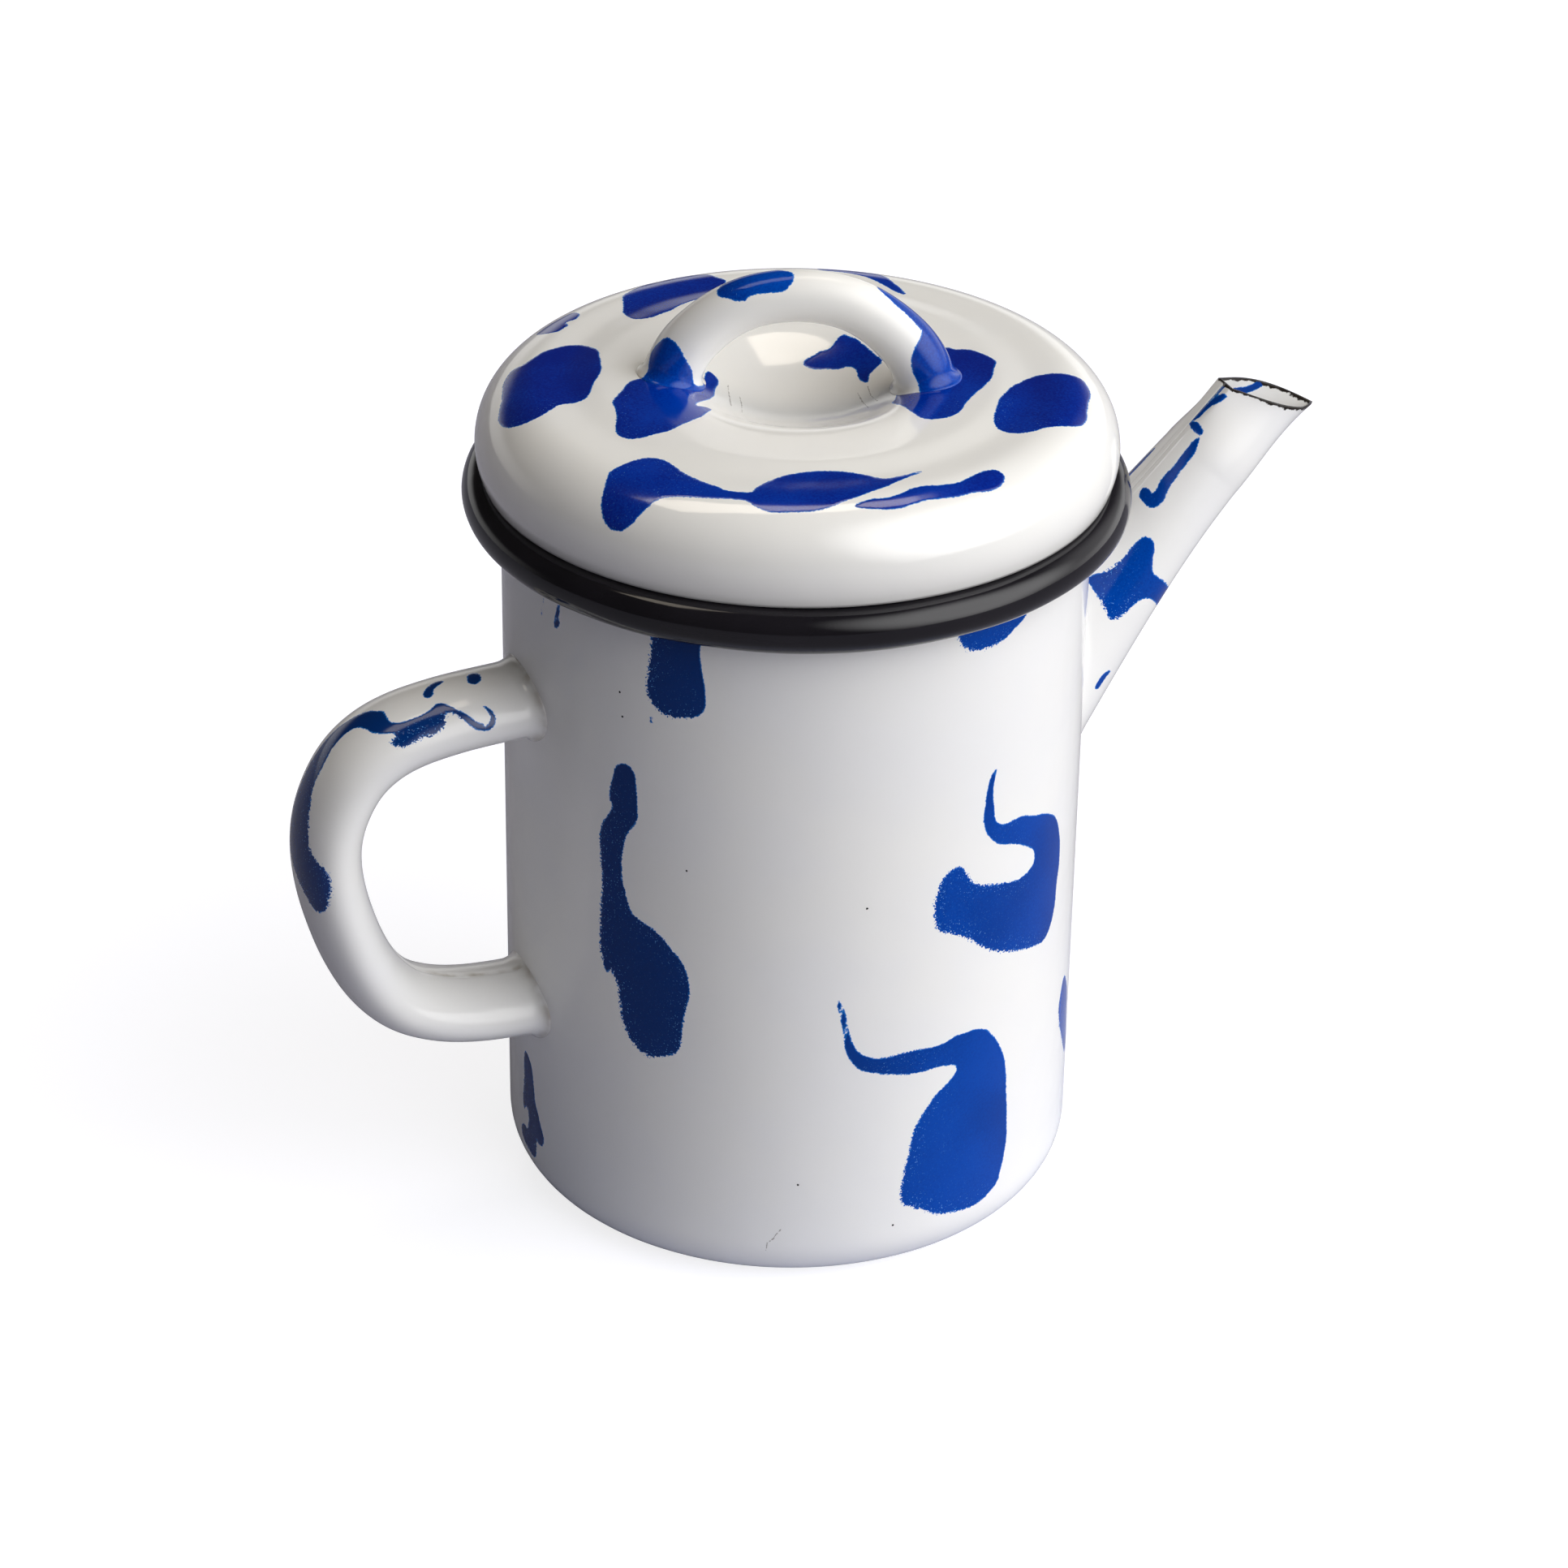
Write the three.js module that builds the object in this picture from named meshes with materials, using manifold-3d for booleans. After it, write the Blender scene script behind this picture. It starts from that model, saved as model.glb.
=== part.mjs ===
// An enamelled steel teapot: a drawn cylindrical pot with a curled black rim, a
// spout pressed in two halves, a rolled tube handle, and a deep lift-off lid with
// a collar below it and an arched handle on top.
// Millimetres. +Z is up, the origin is the centre of the base, the spout points
// along +X and the side handle along -X.

import * as THREE from 'three';
import { mergeVertices } from 'three/addons/utils/BufferGeometryUtils.js';
import Module from 'manifold-3d';

const wasm = await Module();
wasm.setup();

// Driving dimensions

const sheet = 1.2;
const clearance = 0.3;
const overrun = 4;

const bodyRadius = 50;
const baseCornerRadius = 8.5;
const basePanelRadius = 24;
const baseGrooveWidth = 9;
const baseGrooveSlope = 2;
const baseGrooveDepth = 0.8;

const rimHeight = 130.1;
const rimCurlDiameter = 7.7;
const rimSlit = 0.5;

const lidInset = 2.3;
const lidHeight = 15.6;
const lidShoulderRadius = 11;
const lidMargin = 4.7;
const lidStepWidth = 5;
const lidStepHeight = 0.7;
const lidDishRadius = 20;
const lidDishDepth = 6.3;

const collarSheet = 1;
const collarGap = 0.8;
const collarDepth = 13;

const lidHandleSpan = 43.4;
const lidHandleRise = 14.25;
const lidHandleWidth = 8.4;
const lidHandleThickness = 8.8;
const lidHandleSheet = 1.1;
const lidHandleTurn = -23;

const handleReach = 35.1;
const handleDrop = 31.1;
const handleBottomHeight = 40;
const handleWidth = 18.6;
const handleThickness = 11.2;
const handleSheet = 1.3;
const seamWidth = 0.6;

const spoutDrop = 26.1;
const spoutRootHeight = 35;
const spoutRootWidth = 26;
const spoutWaistWidth = 17;
const spoutMouthWidth = 11.6;
const spoutBackReach = 30.5;
const spoutBackRise = 5.5;
const spoutTipReach = 48.2;
const spoutTipDrop = 1;
const spoutRidgeWidth = 2.4;

const strainerHoleDiameter = 4.6;
const strainerPitch = 6.5;

// Sizes and places that follow from them

const bodyInnerRadius = bodyRadius - sheet;
const rimTubeRadius = rimCurlDiameter / 2;
const rimCentreRadius = bodyInnerRadius + rimTubeRadius;
const rimRadius = rimCentreRadius + rimTubeRadius;

const lidSeat = rimHeight + rimTubeRadius + clearance;
const lidTop = lidSeat + lidHeight;
const lidDeck = lidTop + lidStepHeight;
const shoulderCentreRadius = rimRadius - lidInset - lidShoulderRadius;
const shoulderCentreHeight = lidTop - lidShoulderRadius;
const lidStepRadius = shoulderCentreRadius - lidMargin;

const handleTopHeight = rimHeight - handleDrop;
const spoutBackRoot = rimHeight - spoutDrop;
const spoutFrontRoot = spoutBackRoot - spoutRootHeight;
const spoutBackHeight = rimHeight + spoutBackRise;
const spoutTipHeight = rimHeight - spoutTipDrop;

const turnSegments = 48;

const enamelWhite = { color: 0xf1efe9, roughness: 0.16, metalness: 0 };
const enamelBlack = { color: 0x17161a, roughness: 0.12, metalness: 0 };

// Shared tools

function point(x, y) {
  return new THREE.Vector2(x, y);
}

// Points on an arc about (r, z), both ends included.
function arc(r, z, radius, fromAngle, toAngle, steps) {
  const points = [];
  for (let i = 0; i <= steps; i += 1) {
    const angle = THREE.MathUtils.lerp(fromAngle, toAngle, i / steps);
    points.push(point(r + radius * Math.cos(angle), z + radius * Math.sin(angle)));
  }
  return points;
}

// A profile of radius and height, turned about the pot's axis.
function turned(profile) {
  return new THREE.LatheGeometry(profile, turnSegments).rotateX(Math.PI / 2);
}

function welded(geometry) {
  const bare = geometry.clone();
  bare.deleteAttribute('normal');
  bare.deleteAttribute('uv');
  return mergeVertices(bare);
}

function toSolid(geometry) {
  const merged = welded(geometry);
  return new wasm.Manifold(new wasm.Mesh({
    numProp: 3,
    vertProperties: new Float32Array(merged.attributes.position.array),
    triVerts: new Uint32Array(merged.index.array),
  }));
}

function fromSolid(solid) {
  const mesh = solid.getMesh();
  const geometry = new THREE.BufferGeometry();
  geometry.setAttribute('position', new THREE.BufferAttribute(mesh.vertProperties, 3));
  geometry.setIndex(new THREE.BufferAttribute(mesh.triVerts, 1));
  return geometry;
}

function piece(name, geometry, finish) {
  geometry.computeVertexNormals();
  const mesh = new THREE.Mesh(geometry, new THREE.MeshStandardMaterial(finish));
  mesh.name = name;
  return mesh;
}

// An upright cylinder the size of the pot's outside and its clearance, which cuts
// the ends of what is welded to the wall.
function potCutter() {
  const radius = bodyRadius + clearance;
  const height = rimHeight + overrun;
  const cutter = new THREE.CylinderGeometry(radius, radius, height, turnSegments);
  cutter.rotateX(Math.PI / 2);
  cutter.translate(0, 0, height / 2);
  return toSolid(cutter);
}

// The outline of a tube rolled from a strip, open at its butt seam. Its first axis
// lies across the bend and its second points to the inside of the bend.
function rolledSection(width, thickness, wall, steps) {
  const points = [];
  const addSide = (w, t, backwards) => {
    const gap = Math.asin(seamWidth / w);
    for (let i = 0; i <= steps; i += 1) {
      const share = backwards ? 1 - i / steps : i / steps;
      const angle = THREE.MathUtils.lerp(gap, 2 * Math.PI - gap, share);
      points.push(point(w / 2 * Math.sin(angle), t / 2 * Math.cos(angle)));
    }
  };
  addSide(width, thickness, false);
  addSide(width - 2 * wall, thickness - 2 * wall, true);
  return new THREE.Shape(points);
}

// A closed skin over a row of like outlines, whose ends are flat.
function lofted(outlines, flatEnd) {
  const count = outlines[0].length;
  const indices = [];
  for (let i = 0; i + 1 < outlines.length; i += 1) {
    for (let j = 0; j < count; j += 1) {
      const a = i * count + j;
      const b = i * count + (j + 1) % count;
      indices.push(a, b, b + count, a, b + count, a + count);
    }
  }
  const last = (outlines.length - 1) * count;
  for (const [a, b, c] of THREE.ShapeUtils.triangulateShape(flatEnd, [])) {
    indices.push(c, b, a, last + a, last + b, last + c);
  }
  const geometry = new THREE.BufferGeometry();
  geometry.setFromPoints(outlines.flat());
  geometry.setIndex(indices);
  return geometry;
}

// Pot

// The base from its centre outwards: a flat panel and a pressed stiffening groove.
function baseProfile(offset) {
  const grooveFloor = baseGrooveDepth + offset;
  const grooveEnd = basePanelRadius + baseGrooveWidth;
  return [
    point(0, offset),
    point(basePanelRadius, offset),
    point(basePanelRadius + baseGrooveSlope, grooveFloor),
    point(grooveEnd - baseGrooveSlope, grooveFloor),
    point(grooveEnd, offset),
  ];
}

// Drills for the strainer: rows of one, two, three, two and one round holes.
function strainerDrills() {
  const rows = [-2, -1, 0, 1, 2];
  const radius = strainerHoleDiameter / 2;
  const centreHeight = (spoutBackRoot + spoutFrontRoot) / 2;
  const drills = [];
  for (const row of rows) {
    const count = rows.length - 2 - Math.abs(row);
    for (let i = 0; i < count; i += 1) {
      const side = (i - (count - 1) / 2) * strainerPitch;
      const drill = new THREE.CylinderGeometry(radius, radius, 2 * overrun, 12);
      drill.rotateZ(Math.PI / 2);
      drill.translate(bodyRadius, 0, centreHeight + row * strainerPitch);
      drill.rotateZ(Math.asin(side / bodyRadius));
      drills.push(toSolid(drill));
    }
  }
  return drills;
}

function potBody() {
  const cornerSteps = 5;
  const cornerCentre = bodyRadius - baseCornerRadius;
  const innerCorner = baseCornerRadius - sheet;
  const profile = [
    ...baseProfile(0),
    ...arc(cornerCentre, baseCornerRadius, baseCornerRadius, -Math.PI / 2, 0, cornerSteps),
    point(bodyRadius, rimHeight),
    point(bodyInnerRadius, rimHeight),
    ...arc(cornerCentre, baseCornerRadius, innerCorner, 0, -Math.PI / 2, cornerSteps),
    ...baseProfile(sheet).reverse(),
  ];
  let shell = toSolid(turned(profile));
  for (const drill of strainerDrills()) {
    shell = shell.subtract(drill);
  }
  return fromSolid(shell);
}

// The mouth's edge, curled outwards from the top of the wall until just clear of it.
function potRim() {
  const steps = 11;
  const endAngle = -Math.acos((bodyRadius + rimSlit - rimCentreRadius) / rimTubeRadius);
  const inside = rimTubeRadius - sheet;
  const outer = arc(rimCentreRadius, rimHeight, rimTubeRadius, endAngle, Math.PI, steps);
  const inner = arc(rimCentreRadius, rimHeight, inside, Math.PI, endAngle, steps);
  return welded(turned([...outer, ...inner, outer[0]]));
}

// Side handle

function sideHandle() {
  // The centre line from the lower arm to the upper one. Each pair is how far out,
  // as a share of the reach from the wall, and how far up between the two arms.
  const routeShares = [
    [-0.1, -0.006], [0.17, 0], [0.34, 0.012], [0.5, 0.038], [0.66, 0.088],
    [0.785, 0.17], [0.875, 0.275], [0.935, 0.38], [0.98, 0.49], [1, 0.6],
    [0.985, 0.7], [0.93, 0.793], [0.846, 0.872], [0.726, 0.929], [0.586, 0.962],
    [0.432, 0.979], [0.277, 0.989], [-0.1, 1],
  ];
  const rise = handleTopHeight - handleBottomHeight;
  const route = routeShares.map(([out, up]) => new THREE.Vector3(
    -bodyRadius - out * handleReach,
    0,
    handleBottomHeight + up * rise,
  ));
  const bar = new THREE.ExtrudeGeometry(
    rolledSection(handleWidth, handleThickness, handleSheet, 15),
    { steps: 32, extrudePath: new THREE.CatmullRomCurve3(route, false, 'centripetal') },
  );
  return fromSolid(toSolid(bar).subtract(potCutter()));
}

// Spout

// The spout's back and front seams in its own plane, at a share of its length.
function spoutSeams(share) {
  const bendOutShare = 0.365;
  const bendUpShare = 0.488;
  const lipOutShare = 0.598;
  const lipUpShare = 0.774;
  const rise = spoutTipHeight - spoutFrontRoot;
  const frontAt = (out, up) => point(bodyRadius + out * spoutTipReach, spoutFrontRoot + up * rise);
  const frontSeam = new THREE.CubicBezierCurve(
    frontAt(0, 0),
    frontAt(bendOutShare, bendUpShare),
    frontAt(lipOutShare, lipUpShare),
    frontAt(1, 1),
  );
  const backSeam = new THREE.LineCurve(
    point(bodyRadius, spoutBackRoot),
    point(bodyRadius + spoutBackReach, spoutBackHeight),
  );
  return [backSeam.getPoint(share), frontSeam.getPoint(share)];
}

// The full width of the spout at a share of its length.
function spoutWidth(along, waistShare) {
  const toWaist = Math.min(along / waistShare, 1);
  const tapered = THREE.MathUtils.lerp(spoutRootWidth, spoutWaistWidth, toWaist);
  const toMouth = THREE.MathUtils.smoothstep(along, waistShare, 1);
  return THREE.MathUtils.lerp(tapered, spoutMouthWidth, toMouth);
}

// How much of that width is reached at a share of the way from the back seam to the
// front one: an ellipse at the root, and a leaf with a blunt back at the mouth.
function spoutFullness(along, across, waistShare) {
  const bluntShare = 0.39;
  const earlyShare = 0.95;
  const lateShare = 1.65;
  const rest = 1 - across;
  const ellipse = 2 * Math.sqrt(across * rest);
  const leaf = bluntShare * rest ** 3
    + 3 * earlyShare * rest ** 2 * across
    + 3 * lateShare * rest * across ** 2;
  const toMouth = THREE.MathUtils.smoothstep(along, waistShare, 1);
  return THREE.MathUtils.lerp(ellipse, leaf, toMouth);
}

// One side of the spout's section at a share of its length, moved in by an offset.
function spoutSide(along, offset, steps) {
  const waistShare = 0.7;
  const [back, front] = spoutSeams(along);
  const inwards = front.clone().sub(back).setLength(offset);
  back.add(inwards);
  front.sub(inwards);
  const halfWidth = spoutWidth(along, waistShare) / 2 - offset;
  const points = [new THREE.Vector3(back.x, 0, back.y)];
  for (let i = 0; i <= steps; i += 1) {
    const across = (1 - Math.cos(Math.PI * i / steps)) / 2;
    const seam = back.clone().lerp(front, across);
    const ridge = (1 - across) ** 2 * spoutRidgeWidth / 2;
    const bulge = i < steps ? spoutFullness(along, across, waistShare) * halfWidth : 0;
    points.push(new THREE.Vector3(seam.x, -Math.max(ridge, bulge), seam.y));
  }
  return points;
}

function spoutHalf(side) {
  const steps = 9;
  const rootShare = -0.13;
  const stations = 13;
  const outlines = [];
  for (let i = 0; i <= stations; i += 1) {
    const along = THREE.MathUtils.lerp(rootShare, 1, i / stations);
    const outline = [
      ...spoutSide(along, 0, steps),
      ...spoutSide(along, sheet, steps).reverse(),
    ];
    outlines.push(side < 0 ? outline : outline.reverse());
  }
  for (const spot of outlines.flat()) {
    spot.y *= -side;
  }
  const flatEnd = outlines[0].map((spot) => point(spot.y, spot.z));
  return fromSolid(toSolid(lofted(outlines, flatEnd)).subtract(potCutter()));
}

// Lid

// The top of the lid from its axis to the start of its shoulder, raised by an offset:
// a dish, round as part of a ball, which leaves room for a finger under the handle.
function lidTopProfile(offset) {
  const dishSteps = 6;
  const ballRadius = (lidDishRadius ** 2 + lidDishDepth ** 2) / (2 * lidDishDepth);
  const ballHeight = lidDeck - lidDishDepth + ballRadius + offset;
  const dishEdge = -Math.PI / 2 + Math.asin(lidDishRadius / ballRadius);
  const points = arc(0, ballHeight, ballRadius, -Math.PI / 2, dishEdge, dishSteps);
  points[0].x = 0;
  points.push(point(lidStepRadius - lidStepWidth, lidDeck + offset));
  points.push(point(lidStepRadius, lidTop + offset));
  return points;
}

// The angle at which a shoulder of this radius meets the level that the lid rests on.
function lidEdgeAngle(radius) {
  return Math.asin((lidSeat - shoulderCentreHeight) / radius);
}

function lidShoulder(offset, steps) {
  const radius = lidShoulderRadius + offset;
  const edge = lidEdgeAngle(radius);
  return arc(shoulderCentreRadius, shoulderCentreHeight, radius, Math.PI / 2, edge, steps);
}

function lidShell() {
  const steps = 8;
  const outside = [...lidTopProfile(0), ...lidShoulder(0, steps)];
  const inside = [...lidTopProfile(-sheet), ...lidShoulder(-sheet, steps)];
  return welded(turned([...inside, ...outside.reverse()]));
}

// A ring pressed to an L: its flange rests on the pot's rim inside the lid's edge,
// and its skirt keeps the lid centred in the pot's mouth.
function lidCollar() {
  const skirtOuter = bodyInnerRadius - collarGap;
  const skirtInner = skirtOuter - collarSheet;
  const innerShoulder = lidShoulderRadius - sheet;
  const edgeRadius = shoulderCentreRadius + innerShoulder * Math.cos(lidEdgeAngle(innerShoulder));
  const flangeRadius = edgeRadius - clearance;
  const flangeTop = lidSeat + collarSheet;
  const skirtBottom = lidSeat - collarDepth;
  return welded(turned([
    point(skirtInner, skirtBottom),
    point(skirtOuter, skirtBottom),
    point(skirtOuter, lidSeat),
    point(flangeRadius, lidSeat),
    point(flangeRadius, flangeTop),
    point(skirtInner, flangeTop),
    point(skirtInner, skirtBottom),
  ]));
}

function lidHandle() {
  // One leg of the centre line, from below the lid's deck up to the crown. Each pair is
  // how far out, as a share of half the span, and how far up, as a share of the rise.
  const legShares = [
    [1, -0.3], [0.965, 0.02], [0.87, 0.32], [0.73, 0.56], [0.57, 0.755], [0.39, 0.9],
    [0.19, 0.975],
  ];
  const spot = (side, [out, up]) => new THREE.Vector3(
    side * out * lidHandleSpan / 2,
    0,
    lidDeck + up * lidHandleRise,
  );
  const route = [
    ...legShares.map((shares) => spot(-1, shares)),
    spot(1, [0, 1]),
    ...legShares.reverse().map((shares) => spot(1, shares)),
  ];
  const arch = new THREE.ExtrudeGeometry(
    rolledSection(lidHandleWidth, lidHandleThickness, lidHandleSheet, 11),
    { steps: 26, extrudePath: new THREE.CatmullRomCurve3(route, false, 'centripetal') },
  );
  arch.rotateZ(THREE.MathUtils.degToRad(lidHandleTurn));
  const lidBlock = turned([
    point(0, lidSeat),
    point(lidStepRadius, lidSeat),
    ...lidTopProfile(clearance).reverse(),
  ]);
  return fromSolid(toSolid(arch).subtract(toSolid(lidBlock)));
}

const pot = new THREE.Group();
pot.add(piece('pot_body', potBody(), enamelWhite));
pot.add(piece('pot_rim', potRim(), enamelBlack));
pot.add(piece('side_handle', sideHandle(), enamelWhite));
pot.add(piece('spout_near_half', spoutHalf(-1), enamelWhite));
pot.add(piece('spout_far_half', spoutHalf(1), enamelWhite));

const lid = new THREE.Group();
lid.add(piece('lid_shell', lidShell(), enamelWhite));
lid.add(piece('lid_collar', lidCollar(), enamelWhite));
lid.add(piece('lid_handle', lidHandle(), enamelWhite));

const teapot = new THREE.Group();
teapot.add(pot, lid);

export default teapot;
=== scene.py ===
import bpy
import numpy as np
from mathutils import Matrix


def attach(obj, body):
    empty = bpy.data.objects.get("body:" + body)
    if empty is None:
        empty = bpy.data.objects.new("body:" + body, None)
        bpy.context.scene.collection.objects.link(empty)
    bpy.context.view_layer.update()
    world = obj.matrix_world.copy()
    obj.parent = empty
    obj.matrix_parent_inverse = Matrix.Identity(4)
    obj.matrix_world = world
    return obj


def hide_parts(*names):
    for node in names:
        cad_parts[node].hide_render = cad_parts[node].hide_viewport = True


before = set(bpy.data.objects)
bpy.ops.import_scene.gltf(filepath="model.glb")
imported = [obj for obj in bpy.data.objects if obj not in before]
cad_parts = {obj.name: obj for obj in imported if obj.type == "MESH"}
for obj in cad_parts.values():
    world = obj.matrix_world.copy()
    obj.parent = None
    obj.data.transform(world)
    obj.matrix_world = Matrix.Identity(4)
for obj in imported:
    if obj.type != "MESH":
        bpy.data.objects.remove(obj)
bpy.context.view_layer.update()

# Camera
# It stands to the near left of the pot and looks down on it a little, on a long lens.
# Its place and turn were solved from the outlines of the rim, the lid and the base.

millimetre = 0.001
camera_place = np.array([-288.73, -680.21, 492.38])
camera_forward = np.array([0.33813, 0.80062, -0.49466])
camera_right = np.array([0.92412, -0.38185, 0.01365])
focal_length = 111.69
sensor_width = 36


def stand(thing, right, back, place):
    """A camera or lamp put at a place, with its own right and back along two directions."""
    turn = np.eye(4)
    turn[:3] = np.column_stack([right, np.cross(back, right), back, place])
    thing.matrix_world = Matrix(turn.tolist())
    bpy.context.scene.collection.objects.link(thing)


camera = bpy.data.objects.new("camera", bpy.data.cameras.new("camera"))
camera.data.lens = focal_length
camera.data.sensor_width = sensor_width
stand(camera, camera_right, -camera_forward, camera_place * millimetre)
bpy.context.scene.camera = camera
bpy.context.scene.view_settings.view_transform = "Standard"

# Pot body
# A drawn steel cup with a rounded bottom edge, a pressed groove in its base and strainer
# holes behind the spout. White enamel, splashed with cobalt blue that dried grainy where it
# was thin. Lengths are in millimetres up to the mesh.

body_radius = 50.0
body_sheet = 1.2
body_height = 130.1
body_corner = 8.5
body_columns = 384
base_panel = [(0, 0), (24, 0), (26, 0.8), (31, 0.8), (33, 0)]
hole_radius = 2.3
hole_pitch = 6.5
hole_height = 86.5
drill_reach = (44.0, 46.0, 54.0, 56.0)
front_angle = np.radians(-113)


def arc(r, z, radius, start, end, count):
    """Points of a circle about (r, z): the centre plus the radius along each angle."""
    angle = np.radians(np.linspace(start, end, count))
    return np.column_stack([r + radius * np.cos(angle), z + radius * np.sin(angle)])


def lengths(line):
    """How far along the line each point is: the running sum of the steps between points."""
    return np.concatenate([[0], np.cumsum(np.linalg.norm(np.diff(line, axis=0), axis=1))])


def soften(line, pitch, blur):
    """The line resampled every pitch, each point then the bell-weighted mean of its row.

    The bell is e^(-(distance / blur)^2 / 2), and past its ends the line goes on mirrored.
    """
    length = lengths(line)
    even = np.linspace(0, length[-1], int(round(length[-1] / pitch)) + 1)
    fine = np.column_stack([np.interp(even, length, axis) for axis in line.T])
    reach = int(np.ceil(3 * blur / pitch))
    bell = np.exp(-0.5 * (np.arange(-reach, reach + 1) * pitch / blur) ** 2)
    before = 2 * fine[0] - fine[reach:0:-1]
    after = 2 * fine[-1] - fine[-2 : -reach - 2 : -1]
    padded = np.vstack([before, fine, after])
    rows = [np.convolve(axis, bell / bell.sum(), "valid") for axis in padded.T]
    return np.column_stack(rows)


def through(points, steps, closed):
    """A Catmull-Rom curve: between two points, the cubic whose slope at each of them is
    half the step between its two neighbours."""
    points = np.asarray(points, float)
    if closed:
        row = np.vstack([points[-1:], points, points[:2]])
    else:
        row = np.vstack([2 * points[0] - points[1], points, 2 * points[-1] - points[-2]])
    a, b, c, d = row[:-3], row[1:-2], row[2:-1], row[3:]
    t = np.linspace(0, 1, steps, endpoint=False)[:, None, None]
    bend = a - 2.5 * b + 2 * c - d / 2
    curve = b + t / 2 * (c - a) + t**2 * bend + t**3 / 2 * (3 * (b - c) + d - a)
    curve = curve.transpose(1, 0, 2).reshape(-1, points.shape[1])
    return curve if closed else np.vstack([curve, points[-1:]])


def turned(profile, columns):
    """The surface (r cos a, r sin a, z) of a profile of (r, z), for evenly spaced a."""
    angle = np.linspace(0, 2 * np.pi, columns, endpoint=False)
    r, z = profile[:, :1], profile[:, 1:]
    return np.stack([r * np.cos(angle), r * np.sin(angle), z + 0 * angle], axis=-1)


def spun(points, angle):
    """The points turned about the pot's axis: (x cos a - y sin a, x sin a + y cos a, z)."""
    x, y, z = np.moveaxis(points, -1, 0)
    x, y = x * np.cos(angle) - y * np.sin(angle), x * np.sin(angle) + y * np.cos(angle)
    return np.stack([x, y, z], axis=-1)


def surface(name, grid, body, ends="flat"):
    """A closed mesh over a grid of rows and columns, whose columns go round.

    The two end rows are closed with a "flat" face each, drawn to a "pole" each, or
    "joined" to each other. The faces are turned outwards if the sum of their corner
    volumes, a . (b x c) / 6, is below zero.
    """
    rows, columns = grid.shape[:2]
    index = np.arange(rows * columns).reshape(rows, columns)
    points = grid.reshape(-1, 3)
    caps = []
    if ends == "joined":
        index = np.vstack([index, index[:1]])
    elif ends == "pole":
        points = points[columns - 1 : points.shape[0] - columns + 1].copy()
        points[0], points[-1] = grid[0].mean(0), grid[-1].mean(0)
        index = np.clip(index - columns + 1, 0, len(points) - 1)
    else:
        caps = [index[0][::-1].tolist(), index[-1].tolist()]
    beside = np.roll(index, -1, axis=1)
    quads = np.stack([index[:-1], beside[:-1], beside[1:], index[1:]], axis=-1)
    quads = quads.reshape(-1, 4)
    corner = points[quads]
    volume = (corner[:, 0] * np.cross(corner[:, 1], corner[:, 2])).sum()
    volume += (corner[:, 0] * np.cross(corner[:, 2], corner[:, 3])).sum()
    faces = quads.tolist() + caps
    if volume < 0:
        faces = [face[::-1] for face in faces]
    if ends == "pole":
        faces = [list(dict.fromkeys(face)) for face in faces]
    mesh = bpy.data.meshes.new(name)
    mesh.from_pydata((points * millimetre).tolist(), [], faces)
    mesh.shade_smooth()
    piece = bpy.data.objects.new(name, mesh)
    bpy.context.scene.collection.objects.link(piece)
    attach(piece, body)
    return piece


def places(piece):
    """The piece's points in millimetres, one row each."""
    flat = np.empty(len(piece.data.vertices) * 3)
    piece.data.vertices.foreach_get("co", flat)
    return flat.reshape(-1, 3) / millimetre


def note(piece, name, values):
    """A number for each point of the piece, for its material to read."""
    made = piece.data.attributes.new(name, "FLOAT", "POINT")
    made.data.foreach_set("value", np.ascontiguousarray(values, dtype=np.float32).ravel())


def smoothstep(x, low, high):
    """0 up to low, 1 from high, and t t (3 - 2 t) between them."""
    t = np.clip((x - low) / (high - low), 0, 1)
    return t * t * (3 - 2 * t)


splash_margin = 3.0
curve_steps = 5
thin_width, thick_width = 1.5, 5.0
thin_gain = 0.2
across_cosine = 0.7
low_lean = 0.4
lean_gain = 1.2


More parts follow.
